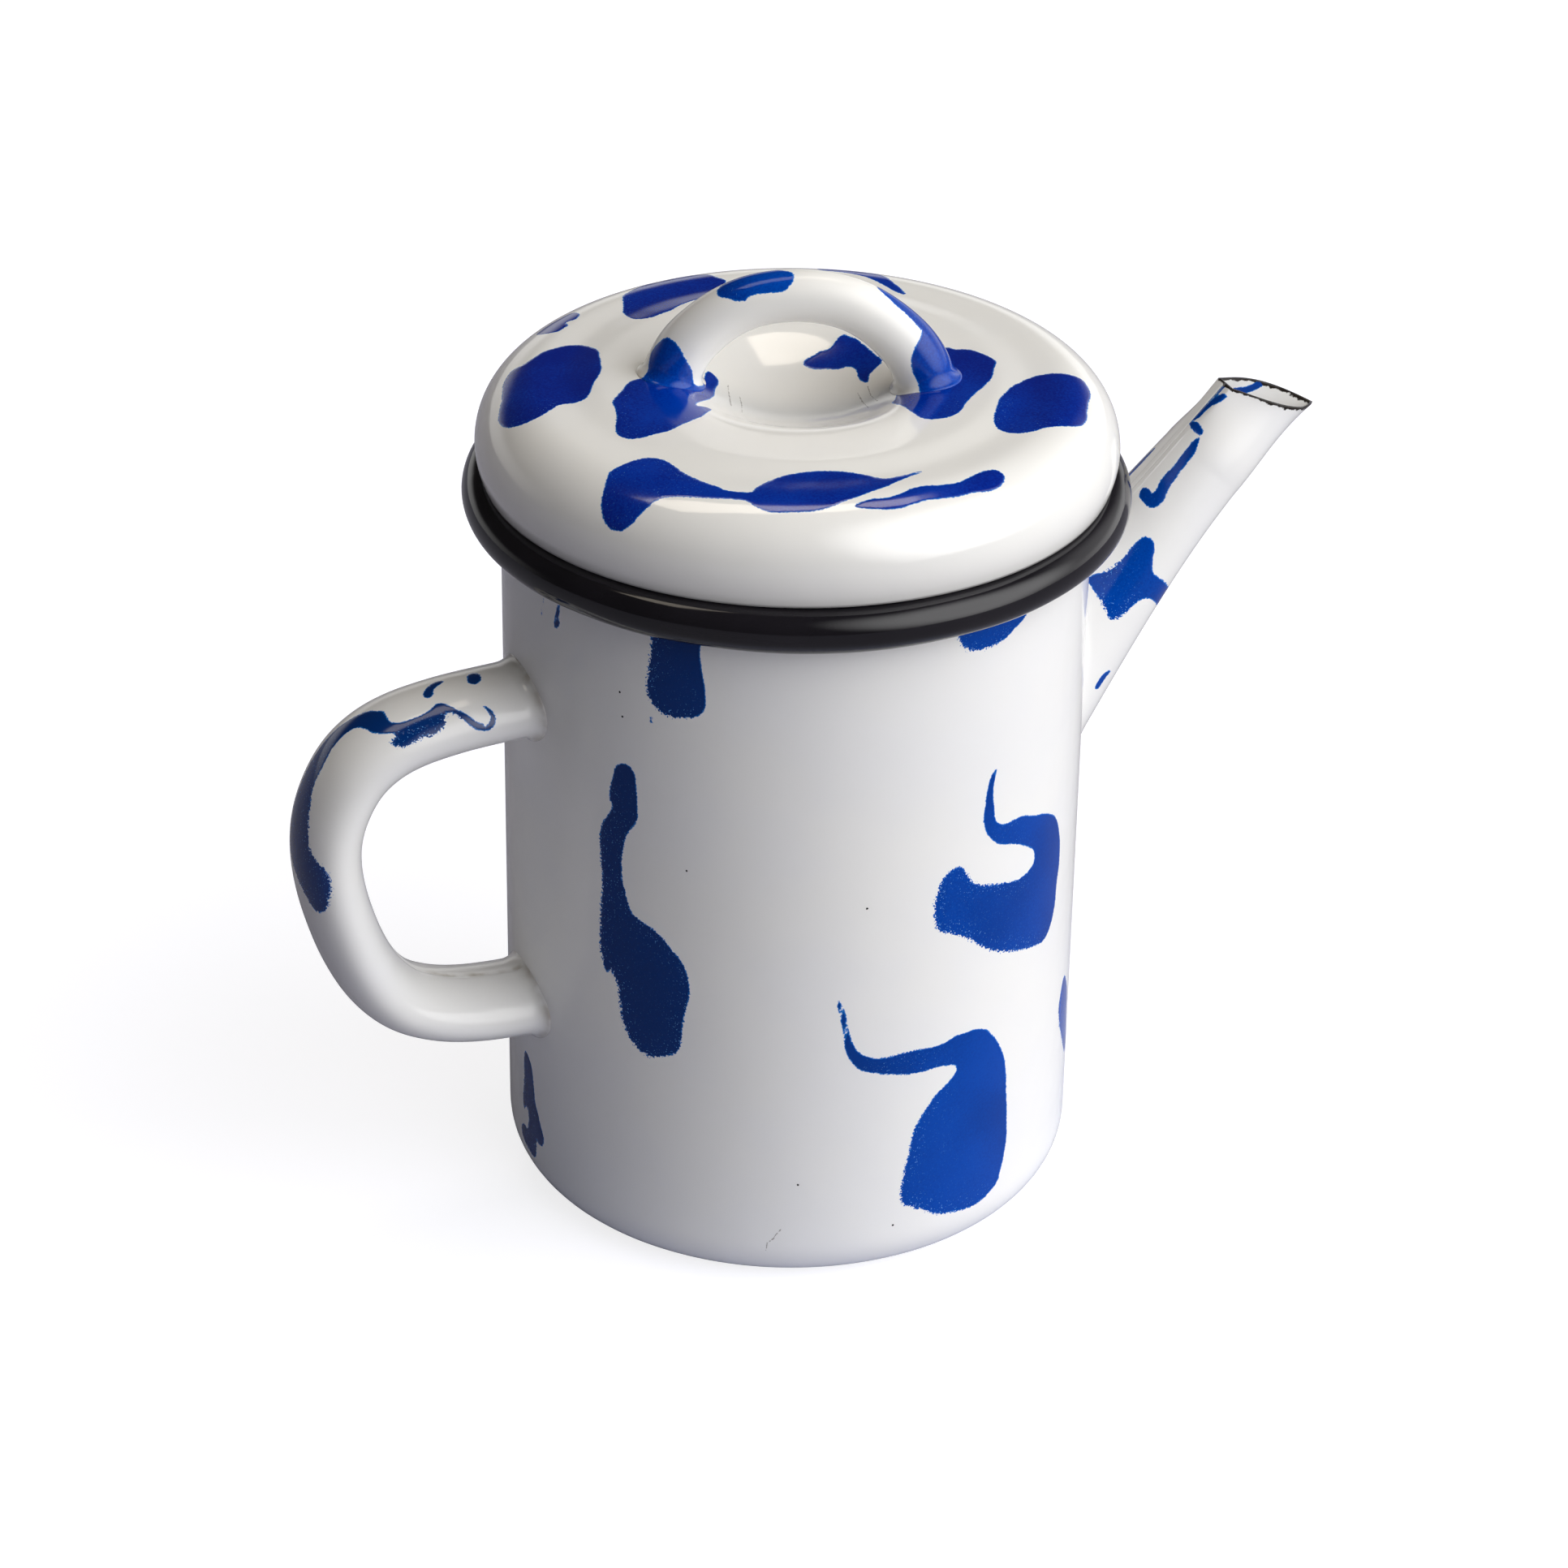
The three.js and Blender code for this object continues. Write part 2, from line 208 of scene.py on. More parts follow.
def splashed(u, v, splashes):
    """For points (u, v) of an unrolled surface: how deep each lies in a splash, and how
    far on that splash's left or lower side it is.

    A splash is a closed curve through its points. The depth is the distance to the
    nearest edge of the curve, below zero outside it, where a line to the right of the
    point crosses the curve an even number of times. Of several splashes the deepest holds.
    The second number fades to 0 where the splash is thin: there its other edge, within
    45 degrees of straight across, is near, and the depth is a little more than measured.
    """
    u, v = np.ravel(u), np.ravel(v)
    depth, side = np.full(u.shape, -splash_margin), np.zeros(u.shape)
    for outline in splashes:
        edge = through(outline, curve_steps, True)
        low, high = edge.min(0), edge.max(0)
        near = (u > low[0] - splash_margin) & (u < high[0] + splash_margin)
        near &= (v > low[1] - splash_margin) & (v < high[1] + splash_margin)
        where = np.flatnonzero(near)
        p = np.column_stack([u[where], v[where]])[:, None, :]
        a, b = edge[None], np.roll(edge, -1, axis=0)[None]
        along = ((p - a) * (b - a)).sum(-1) / ((b - a) ** 2).sum(-1).clip(1e-9)
        along = np.clip(along, 0, 1)
        gaps = np.linalg.norm(p - a - (b - a) * along[..., None], axis=-1)
        gap, nearest = gaps.min(1), gaps.argmin(1)
        a, b = edge, np.roll(edge, -1, axis=0)
        inward = np.column_stack([a[:, 1] - b[:, 1], b[:, 0] - a[:, 0]])
        inward *= np.sign((a[:, 0] * b[:, 1] - b[:, 0] * a[:, 1]).sum())
        reach = a + b - (a + b)[:, None]
        size = np.linalg.norm(reach, axis=-1)
        facing = (reach * inward[:, None]).sum(-1)
        facing = facing > across_cosine * size * np.linalg.norm(inward, axis=1)[:, None]
        width = np.where(facing, size / 2, np.inf).min(1)
        thick = smoothstep(width, thin_width, thick_width)[nearest]
        a, b = a[None], b[None]
        rise = np.where(b[..., 1] == a[..., 1], 1e-9, b[..., 1] - a[..., 1])
        cross = a[..., 0] + (p[..., 1] - a[..., 1]) / rise * (b[..., 0] - a[..., 0])
        over = ((a[..., 1] > p[..., 1]) != (b[..., 1] > p[..., 1])) & (cross > p[..., 0])
        found = np.where(over.sum(1) % 2 == 1, gap, -gap) + thin_gain * (1 - thick)
        middle, half = (low + high) / 2, (high - low) / 2
        lean = low_lean * (middle[1] - p[:, 0, 1]) + middle[0] - p[:, 0, 0]
        lean = np.clip(0.5 + lean_gain * (lean / half.max()), 0, 1) * thick
        deeper = found > depth[where]
        depth[where] = np.where(deeper, found, depth[where])
        side[where] = np.where(deeper, lean, side[where])
    return depth, side


class Term:
    """A socket of a material's node tree. Arithmetic on it adds Math nodes."""

    def __init__(self, tree, socket):
        self.tree = tree
        self.socket = socket

    def node(self, kind, settings=(), inputs=(), output=0):
        """A node of that kind, its settings made first, then its sockets' values or links."""
        made = self.tree.nodes.new("ShaderNode" + kind)
        for name, value in dict(settings).items():
            setattr(made, name, value)
        for name, value in dict(inputs).items():
            if isinstance(value, Term):
                self.tree.links.new(value.socket, made.inputs[name])
            else:
                made.inputs[name].default_value = value
        return Term(self.tree, made.outputs[output]) if made.outputs else None

    def math(self, operation, *others):
        return self.node("Math", {"operation": operation}, enumerate((self, *others)))

    def vector(self, operation, output, *others):
        """Vector Math on this vector and others, and its output Vector or Value."""
        inputs = enumerate((self, *others))
        return self.node("VectorMath", {"operation": operation}, inputs, output)

    def attribute(self, name):
        """The number that the piece's points carry under that name."""
        return self.node("Attribute", {"attribute_name": name}, (), "Fac")

    def __add__(self, other):
        return self.math("ADD", other)

    def __radd__(self, other):
        return self.math("ADD", other)

    def __sub__(self, other):
        return self.math("SUBTRACT", other)

    def __rsub__(self, other):
        return self.math("MULTIPLY", -1.0).math("ADD", other)

    def __mul__(self, other):
        return self.math("MULTIPLY", other)

    def __rmul__(self, other):
        return self.math("MULTIPLY", other)

    def above(self, low, high):
        """0 up to low, 1 from high, and a smooth step between them."""
        settings = {"interpolation_type": "SMOOTHSTEP", "clamp": True}
        inputs = {"Value": self, "From Min": low, "From Max": high}
        return self.node("MapRange", settings, inputs)

    def noise(self, per_millimetre, detail):
        """Blender's noise of this vector, which has so many spots to the millimetre."""
        inputs = {"Vector": self, "Scale": per_millimetre / millimetre, "Detail": detail}
        return self.node("TexNoise", (), inputs)

    def off_line(self, start, end):
        """How far the vector is from the straight line between two places, in metres.

        Of the way from start to end, the nearest place has gone the share
        (self - start) . way / (way . way), kept between 0 and 1.
        """
        start, end = np.array(start) * millimetre, np.array(end) * millimetre
        way = end - start
        away = self.vector("SUBTRACT", "Vector", start.tolist())
        share = away.vector("DOT_PRODUCT", "Value", (way / (way @ way)).tolist())
        inputs = {0: way.tolist(), "Scale": self.node("Clamp", (), {"Value": share})}
        foot = self.node("VectorMath", {"operation": "SCALE"}, inputs)
        return away.vector("DISTANCE", "Value", foot)

    def between(self, start, end):
        """The colour start where self is 0, end where it is 1."""
        ends = [value if isinstance(value, Term) else (*value, 1.0) for value in (start, end)]
        return self.node("Mix", {"data_type": "RGBA"}, zip((0, 6, 7), (self, *ends)), 2)


def new_material(name):
    """A new material and the first term of its tree: the place on the object in metres."""
    material = bpy.data.materials.new(name)
    material.use_nodes = True
    material.node_tree.nodes.clear()
    return material, Term(material.node_tree, None).node("TexCoord", output="Object")


def enamel_coat(place, colour, roughness, height, gloss):
    """Fused glass over the colour. Its height in millimetres bends its reflections."""
    bump = {"Height": height, "Strength": 1.0, "Distance": millimetre}
    inputs = {"Base Color": colour, "Roughness": roughness}
    inputs |= {"Normal": place.node("Bump", (), bump), "Specular IOR Level": gloss}
    shader = place.node("BsdfPrincipled", (), inputs)
    place.node("OutputMaterial", (), {"Surface": shader})


cream = (0.87, 0.86, 0.83)
cool_white = (0.83, 0.83, 0.84)
deep_blue = (0.0, 0.04, 0.28)
cobalt = (0.0, 0.056, 0.38)
speck_blue = (0.1, 0.3, 0.68)
painted_shade_blue = (0.0, 0.024, 0.13)
thin_blue = (0.01, 0.2, 0.66)
pinhole_dark = (0.03, 0.028, 0.03)
weld_tint = (0.42, 0.37, 0.3)
hairline_brown = (0.14, 0.11, 0.09)
even_edge, grainy_edge, flowing_edge = 0.5, 1.9, 0.3
splash_height = 0.035
peel_height, swell_height = 0.05, 0.25
smooth_glass, rough_glass = 0.07, 0.05


def white_enamel(
    name, blue_low, blue_high, marks=(), cracks=(), over=None, warmth=0.3, gloss=0.25
):
    """White enamel with blue splashes where the point's depth in one is above zero.

    The edge wanders with fine noise, most on the grainy side. Marks are dark pinholes at
    given places in millimetres, and cracks are hairlines through rows of such places. Thin
    enamel shows the tint where the point's weld is 1, and the blue is painted darker, as
    painted shade, where its shade is 1. over makes a last colour of the place and the
    colour so far.
    """
    material, place = new_material(name)
    depth, side, weld, shade = map(place.attribute, ("depth", "side", "weld", "shade"))
    grain = place.noise(2.6, 3.0)
    flow = place.noise(0.35, 2.0)
    cloud = place.noise(0.05, 2.0)
    inner = (grain - 0.5) * (even_edge + grainy_edge * side * side)
    inner = depth + (inner + (flow - 0.5) * flowing_edge)
    blue = inner.above(-0.06, 0.1)
    speck = place.noise(3.4, 1.0).above(0.67, 0.71)
    speck = speck * (1.0 - inner.above(0.3, 4.0) * 0.85)
    body_blue = (cloud * 0.6 + grain * 0.4).above(0.35, 0.65)
    # Painted shade: where the point's shade is 1, the blue turns to the dark painted-shade
    # colour.
    body_blue = shade.between(body_blue.between(blue_low, blue_high), painted_shade_blue)
    body_blue = (speck * side.above(0.0, 0.6)).between(body_blue, speck_blue)
    splash = inner.above(0.0, 0.3).between(thin_blue, body_blue)
    ground = (cloud.above(0.3, 0.7) * 0.4 + warmth).between(cool_white, cream)
    ground = (weld * place.noise(0.3, 2.0).above(0.3, 0.7)).between(ground, weld_tint)
    colour = blue.between(ground, splash)
    for *centre, radius in marks:
        away = place.vector("DISTANCE", "Value", [value * millimetre for value in centre])
        away = away * (1 / millimetre) + (grain - 0.5) * 0.2
        colour = away.above(radius * 0.6, radius).between(pinhole_dark, colour)
    for crack in cracks:
        gaps = [place.off_line(start, end) for start, end in zip(crack, crack[1:])]
        nearest = gaps[0]
        for gap in gaps[1:]:
            nearest = nearest.math("MINIMUM", gap)
        line = (nearest * (1 / millimetre) + (grain - 0.45) * 0.5).above(0.02, 0.17)
        colour = (0.35 + line * 0.65).between(hairline_brown, colour)
    if over:
        colour = over(place, colour)
    peel = place.noise(0.16, 1.0) * peel_height + place.noise(0.03, 1.0) * swell_height
    height = peel + inner.above(-0.1, 0.5) * splash_height
    roughness = smooth_glass + rough_glass * flow + rough_glass * blue * grain
    enamel_coat(place, colour, roughness, height, gloss)
    return material


# Outlines of the splashes on the unrolled wall: how far round from the front, then how
# far up. The hidden back repeats the first four, shifted nearly half round.
wall_splashes = [
    [
        (-23.8, 127), (-23.9, 123.1), (-24.2, 121.5), (-24.4, 118.8), (-24.8, 116),
        (-25, 114.3), (-24.5, 112.7), (-23.8, 111.7), (-22.7, 110.7), (-21.1, 110.2),
        (-19.6, 110.1), (-18, 110.4), (-16.1, 110.9), (-14.9, 111.8), (-14.4, 112.8),
        (-14.3, 114.6), (-14.4, 116.6), (-14.8, 118.7), (-15.1, 120.8), (-15.4, 122.9),
        (-15.7, 127),
    ],
    [
        (-29.8, 98.7), (-28.3, 98.7), (-27.3, 97.6), (-26.9, 95.8), (-26.7, 93.7),
        (-26.6, 91.6), (-26.6, 89.2), (-27.5, 87.2), (-28.7, 85.6), (-29.3, 83.3),
        (-29.8, 80.4), (-29.7, 77.1), (-29.2, 74.4), (-28.5, 72.4), (-27.7, 70.7),
        (-25.9, 69.8), (-23.4, 68.7), (-21.9, 67.7), (-20.2, 65.9), (-18.6, 64.2),
        (-17.6, 62.6), (-17, 60.3), (-16.8, 57.6), (-17.4, 54.6), (-18, 51.5),
        (-18.2, 48.2), (-18.7, 46.2), (-19.6, 45), (-21.6, 44.1), (-23.7, 43.4),
        (-25.5, 43.5), (-26.9, 44.2), (-28.4, 45.8), (-29.4, 47.7), (-30.1, 50),
        (-30.5, 52.8), (-30.8, 55.3), (-31.7, 57.1), (-32.2, 58), (-32.9, 57.1),
        (-33.8, 58.5), (-34.5, 60.8), (-34.7, 63.9), (-34.6, 67.3), (-34.4, 70.3),
        (-34.1, 73.3), (-34.2, 77.2), (-34.6, 81), (-34.5, 83.8), (-34, 85.9),
        (-32.7, 88.1), (-31.8, 89.8), (-32.4, 91.2), (-32.2, 93.5), (-31.6, 95.9),
        (-31, 97.7),
    ],
    [
        (37.2, 96.2), (36.8, 94.3), (36.6, 91.5), (37.1, 88.3), (37.4, 86.2), (38.9, 85),
        (40.4, 84.6), (42.5, 84.6), (45, 84.2), (48.4, 82.7), (50.9, 81.9), (53.6, 80.5),
        (55.8, 78.8), (57, 77.1), (58, 74.8), (58.8, 71.6), (58.8, 67.7), (58, 64.5),
        (57.7, 60.9), (56.5, 57.7), (55, 56.1), (52.7, 55.4), (49.4, 56.1), (45.4, 57.4),
        (41.4, 58.9), (38.3, 60.4), (36.3, 61.7), (33.8, 63.9), (31.3, 65.8), (29.1, 67.1),
        (26.7, 68.3), (25.7, 69.7), (25.2, 71.9), (25.1, 74), (25.7, 76.1), (26.4, 78.2),
        (27.9, 79.7), (29.6, 80), (30.4, 79.7), (31.5, 78.4), (32.4, 76.7), (34, 75.4),
        (36.5, 74.2), (39.1, 73.5), (41.9, 72.6), (44.9, 72.1), (47.2, 72.5), (48.6, 73.6),
        (48.5, 75.3), (47.4, 76.7), (44.5, 78.6), (41.9, 79.9), (39.1, 81.1), (37.6, 82.2),
        (36, 84), (35.2, 86), (34.9, 87.9), (35.2, 90.7), (35.6, 93.4), (36.2, 95.2),
    ],
    [
        (8.1, 58.6), (9.3, 56.4), (9.9, 54), (10.3, 51.8), (11, 49.5), (11.9, 47.7),
        (13.3, 46.6), (15.8, 45.7), (17.8, 45.8), (20.6, 46), (24.2, 45.9), (27.3, 45.7),
        (29.2, 46.1), (30.9, 46.5), (32.4, 46.3), (34.2, 46.3), (36.1, 45.8), (37.9, 44.6),
        (39.6, 42.5), (40.9, 40.3), (42.2, 37.5), (42.8, 34.3), (43.3, 29.6), (43.7, 24.9),
        (43.9, 20.2), (43.4, 16.6), (42.6, 13.6), (41.7, 11.5), (39.6, 10.2), (38, 9.6),
        (35.9, 9.2), (33, 9.5), (29.8, 10.1), (27.6, 10.7), (25.2, 12.3), (22.2, 14),
        (20.8, 15), (20.4, 17.6), (20.8, 20.4), (21.4, 23.4), (22, 26.5), (22.6, 29.5),
        (23.7, 31.8), (25.2, 33.9), (26.7, 35.8), (28.2, 36.7), (29.8, 38), (30.8, 39.1),
        (30.9, 39.9), (30.2, 40.6), (29, 40.9), (27.1, 41.2), (24.3, 41.2), (21.4, 41.4),
        (18.2, 42.1), (15.1, 43), (12.8, 44), (11.5, 45.2), (10.5, 47.1), (9.9, 49),
        (9.6, 51.3), (9.3, 53.4), (8.8, 55.7),
    ],
    [
        (26.8, 127), (27.8, 125.3), (28.1, 123.6), (28.6, 122.5), (29.4, 121.3),
        (30.6, 120.6), (32.3, 120.2), (34.3, 120), (36.3, 120.1), (38.5, 120.5),
        (40.6, 121.6), (42.6, 122.5), (45, 125), (46, 127.5),
    ],
    [
        (-58.5, 28), (-56.3, 27.3), (-55.2, 25.7), (-54.6, 22.7), (-54, 19.7),
        (-52.8, 17.8), (-51.9, 15.8), (-51, 14.2), (-51.6, 12.3), (-53.2, 12.1),
        (-54.2, 13), (-53.9, 10.8), (-54.6, 8), (-57, 7.8), (-60.3, 8.9), (-61.2, 10.5),
        (-59.7, 11.9), (-57.9, 12.1), (-57.1, 14.7), (-58.2, 16.8), (-59.6, 15.4),
        (-59.9, 17.8), (-59.3, 21.6), (-59.2, 24.7),
    ],
    [
        (66, 41), (63.3, 38.3), (62.7, 35.8), (63.7, 32.3), (66.6, 27.5), (70.5, 22.5),
        (73, 24), (71, 30), (70, 36),
    ],
    [(-24.3, 108.9), (-23.8, 109.1), (-23.4, 108.6), (-23.8, 108.1), (-24.2, 108.3)],
    [
        (-48.8, 122), (-48.9, 120.8), (-49.1, 119.6), (-49.2, 118.5), (-49.4, 118.5),
        (-49.3, 119.7), (-49.1, 120.9), (-49, 121.9),
    ],
    [
        (-43.9, 122.9), (-44.3, 121), (-44.9, 119.2), (-44, 120.1), (-44.5, 118.8),
        (-45.5, 118.4), (-45, 120.9), (-44.4, 122.7),
    ],
]
back_shift = 150.0
seen_reach = 78
wall_skin = 0.4
# Painted shade: the wall's blue is painted darker towards its left, the side turned away from
# the light.
wall_shade = 0.8
shade_left, shade_right = -34, 8
wall_specks = [
    (-30.1, 112), (-29.6, 107.6), (-17.5, 81.7), (13, 75.8), (19.2, 10.9), (2.2, 21.4),
]
speck_radius = 0.25
wall_crack = [(-0.6, 12.1), (-1.4, 11.1), (-1.9, 10.1), (-2.9, 9.2), (-3.1, 7.6)]

corner_centre = body_radius - body_corner
outer_corner = arc(corner_centre, body_corner, body_corner, -90, 0, 16)
outside = np.vstack([base_panel, outer_corner, [(body_radius, body_height)]])
inner_corner = arc(corner_centre, body_corner, body_corner - body_sheet, 0, -90, 10)
inner_base = (np.array(base_panel) + (0, body_sheet))[::-1]
inside = np.vstack([[(body_radius - body_sheet, body_height)], inner_corner, inner_base])
body_profile = np.vstack([soften(outside, 1.0, 0.7), soften(inside, 3.5, 1.0)])
pot_body = surface("enamel_pot_body", turned(body_profile, body_columns), "pot", ends="pole")

drills = []
for row in (-2, -1, 0, 1, 2):
    count = 3 - abs(row)
    for step in range(count):
        tilt = np.arcsin((step - (count - 1) / 2) * hole_pitch / body_radius)
        y, z = arc(0, hole_height + row * hole_pitch, hole_radius, 0, 352.5, 48).T
        bar = np.broadcast_arrays(np.array(drill_reach)[:, None], y, z)
        bar = spun(np.stack(bar, axis=-1), tilt)
        drills.append(surface(f"drill_{row}_{step}", bar, "pot"))
for drill in drills:
    cut = pot_body.modifiers.new("hole", "BOOLEAN")
    cut.operation = "DIFFERENCE"
    cut.solver = "MANIFOLD"
    cut.object = drill
graph = bpy.context.evaluated_depsgraph_get()
drilled = bpy.data.meshes.new_from_object(pot_body.evaluated_get(graph))
pot_body.modifiers.clear()
drilled.materials.clear()
pot_body.data = drilled
for drill in drills:
    bpy.data.objects.remove(drill)

x, y, z = places(pot_body).T
angle = np.arctan2(y, x) - front_angle
around = ((angle + np.pi) % (2 * np.pi) - np.pi) * body_radius
half_turn = np.pi * body_radius
opposite = (around + back_shift + half_turn) % (2 * half_turn) - half_turn
front_depth, front_side = splashed(around, z, wall_splashes)
back_depth, back_side = splashed(opposite, z, wall_splashes[:4])
seen = np.abs(around) < seen_reach
depth = np.where(seen, front_depth, back_depth)
on_wall = (np.hypot(x, y) > body_radius - wall_skin) | (z < body_corner)
note(pot_body, "depth", np.where(on_wall, depth, -splash_margin))
note(pot_body, "side", np.where(seen, front_side, back_side))
# Painted shade: the shade attribute darkens the blue on the left of the wall, away from the
# light.
note(pot_body, "shade", wall_shade * (1 - smoothstep(x, shade_left, shade_right)))


def wall_places(spots):
    """The places on the wall of points of the unrolled wall, one row each."""
    around, up = np.array(spots, float).T
    a = around / body_radius + front_angle
    return np.column_stack([body_radius * np.cos(a), body_radius * np.sin(a), up]).tolist()


marks = [(*spot, speck_radius) for spot in wall_places(wall_specks)]
cracks = [wall_places(wall_crack)]
pot_body.data.materials.append(
    white_enamel("splashed_wall_enamel", deep_blue, cobalt, marks, cracks, gloss=0.15)
)
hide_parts("pot_body")

# Rim
# The mouth's edge, curled outwards to a fat hollow bead with a narrow slit below it, and
# coated in black enamel. It has worn to white pinpricks in a few places.

rim_centre = 52.65
rim_bead = 3.85
rim_slit_angle = -123.9
rim_columns = 400
rim_wobble = 0.05
rim_waves = [(5, 1, 1), (11, 0.6, 0), (17, 0.4, 2)]
rim_black = (0.006, 0.0055, 0.007)
rim_sheen = (0.016, 0.014, 0.018)
chip_white = (0.7, 0.68, 0.66)
rim_grit = 0.004
rim_smooth, rim_rough, rim_gloss = 0.06, 0.08, 0.38


def black_enamel(name):
    """Black enamel: a nearly black ground, chipped to white in rare pinpricks."""
    material, place = new_material(name)
    cloud = place.noise(0.08, 3.0)
    grain = place.noise(1.2, 2.0)
    chip = grain.above(0.79, 0.82) * cloud.above(0.5, 0.7)
    colour = chip.between(cloud.between(rim_black, rim_sheen), chip_white)
    height = place.noise(0.12, 1.0) * peel_height + place.noise(0.9, 2.0) * rim_grit
    enamel_coat(place, colour, rim_smooth + rim_rough * cloud, height, rim_gloss)
    return material


bead = arc(rim_centre, body_height, rim_bead, rim_slit_angle, 180, 56)
hollow = arc(rim_centre, body_height, rim_bead - body_sheet, 180, rim_slit_angle, 30)
rim_grid = turned(np.vstack([bead, hollow]), rim_columns)
rim_angle = np.linspace(0, 2 * np.pi, rim_columns, endpoint=False)
wave = sum(np.sin(count * rim_angle + start) * size for count, size, start in rim_waves)
rim_grid[..., 2] += rim_wobble * wave
pot_rim = surface("enamel_pot_rim", rim_grid, "pot", ends="joined")
pot_rim.data.materials.append(black_enamel("rim_black_enamel"))
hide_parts("pot_rim")

# Side handle
# A strip of steel rolled to a flattened tube, its seam on the inner side, bent to a D and
# welded to the wall. The enamel draws up round both roots and is thin and brown there.

handle_reach = 35.1
handle_low = 40
handle_rise = 59
handle_half_width = 9.3
handle_half_thickness = 5.6
seam_depth = 0.045
seam_width = 0.06
weld_growth = 1.7
weld_spread = 2.6
tint_strength = 0.6
tint_reach = 0.9
seam_tint_end = (20, 26)
dry_edge = (5, 8)
dry_middle, dry_reach = 90, 7
# Painted shade: the handle's blue is painted darker all over, as the handle stands in the pot's
# shadow.
handle_shade = 0.85
handle_route = np.array([
    (-0.1, -0.006), (0.17, 0), (0.34, 0.012), (0.5, 0.038), (0.66, 0.088), (0.785, 0.17),
    (0.875, 0.275), (0.935, 0.38), (0.98, 0.49), (1, 0.6), (0.985, 0.7), (0.93, 0.793),
    (0.846, 0.872), (0.726, 0.929), (0.586, 0.962), (0.432, 0.979), (0.277, 0.989), (-0.1, 1),
])


def fillet(gap, growth, spread):
    """A hollow quarter of an ellipse, spread high and growth wide: growth times
    1 - sqrt(1 - q^2), with q = 0.95 (1 - gap / spread), and 0 above its top."""
    q = 0.95 * np.clip(1 - gap / spread, 0, 1)
    return growth * (1 - np.sqrt(1 - q**2))


def tube(line, half_width, half_thickness, gap_above, growth, spread, swell=None):
    """A function of (s, a), with s along a line in the plane y = 0 and a round it.

    Its point is the line's at s, plus thickness cos a outwards and width sin a across,
    less a groove e^(-(from the seam)^2) on the inner side, and times swell(s), if any.
    Near what carries the tube the section grows by a fillet.
    """
    length = lengths(line)
    slope = np.gradient(line, length, axis=0)
    slope /= np.linalg.norm(slope, axis=1)[:, None]

    def at(s, a):
        x, z = (np.interp(s, length, axis) for axis in line.T)
        tx, tz = (np.interp(s, length, axis) for axis in slope.T)
        scale = 1 - seam_depth * np.exp(-(((np.pi - np.abs(a)) / seam_width) ** 2))
        if swell:
            scale = scale * swell(s, length[-1])
        out = half_thickness * np.cos(a) * scale
        offset = np.stack([-tz * out, -half_width * np.sin(a) * scale, tx * out], axis=-1)
        centre = np.stack([x, 0 * x, z], axis=-1)
        gap = np.maximum(gap_above(centre + offset), 0)
        unit = offset / np.linalg.norm(offset, axis=-1)[..., None]
        return centre + offset + unit * fillet(gap, growth, spread)[..., None]

    return at, length[-1]


def sunk(at, angles, gap_above, depth, clear, buried):
    """Where each lengthwise line of a surface lies depth below its carrier: the place is
    halved 30 times between one that is clear of the carrier and one that is buried."""
    clear, buried = np.full(angles.shape, clear), np.full(angles.shape, buried)
    for _ in range(30):
        middle = (clear + buried) / 2
        under = gap_above(at(middle, angles)) < -depth
        clear, buried = np.where(under, clear, middle), np.where(under, middle, buried)
    return (clear + buried) / 2


def tube_grid(at, total, gap_above, depth, reach, rows, columns, even=0.35):
    """Rows of the tube from one root to the other, closer together near the roots: at a
    share t of the way they stand at even t + (1 - even) (1 - cos pi t) / 2."""
    a = np.linspace(-np.pi, np.pi, columns, endpoint=False) + np.pi / columns
    start = sunk(at, a, gap_above, depth, reach, 0.0)
    end = sunk(at, a, gap_above, depth, total - reach, total)
    t = np.linspace(0, 1, rows)[:, None]
    t = even * t + (1 - even) * (1 - np.cos(np.pi * t)) / 2
    s = start + (end - start) * t
    return at(s, a + 0 * s), s, a + 0 * s


def wall_gap(points):
    """How far points stand off the pot's wall: the distance from its axis less its radius."""
    return np.hypot(points[..., 0], points[..., 1]) - body_radius


handle_points = handle_route * (-handle_reach, handle_rise) + (-body_radius, handle_low)
handle_line = soften(through(handle_points, 12, False), 0.5, 1.5)
handle_at, handle_length = tube(
    handle_line, handle_half_width, handle_half_thickness, wall_gap, weld_growth, weld_spread
)
handle_grid, handle_s, handle_a = tube_grid(
    handle_at, handle_length, wall_gap, depth=0.5, reach=14, rows=300, columns=128
)
side_handle = surface("enamel_side_handle", handle_grid, "pot")

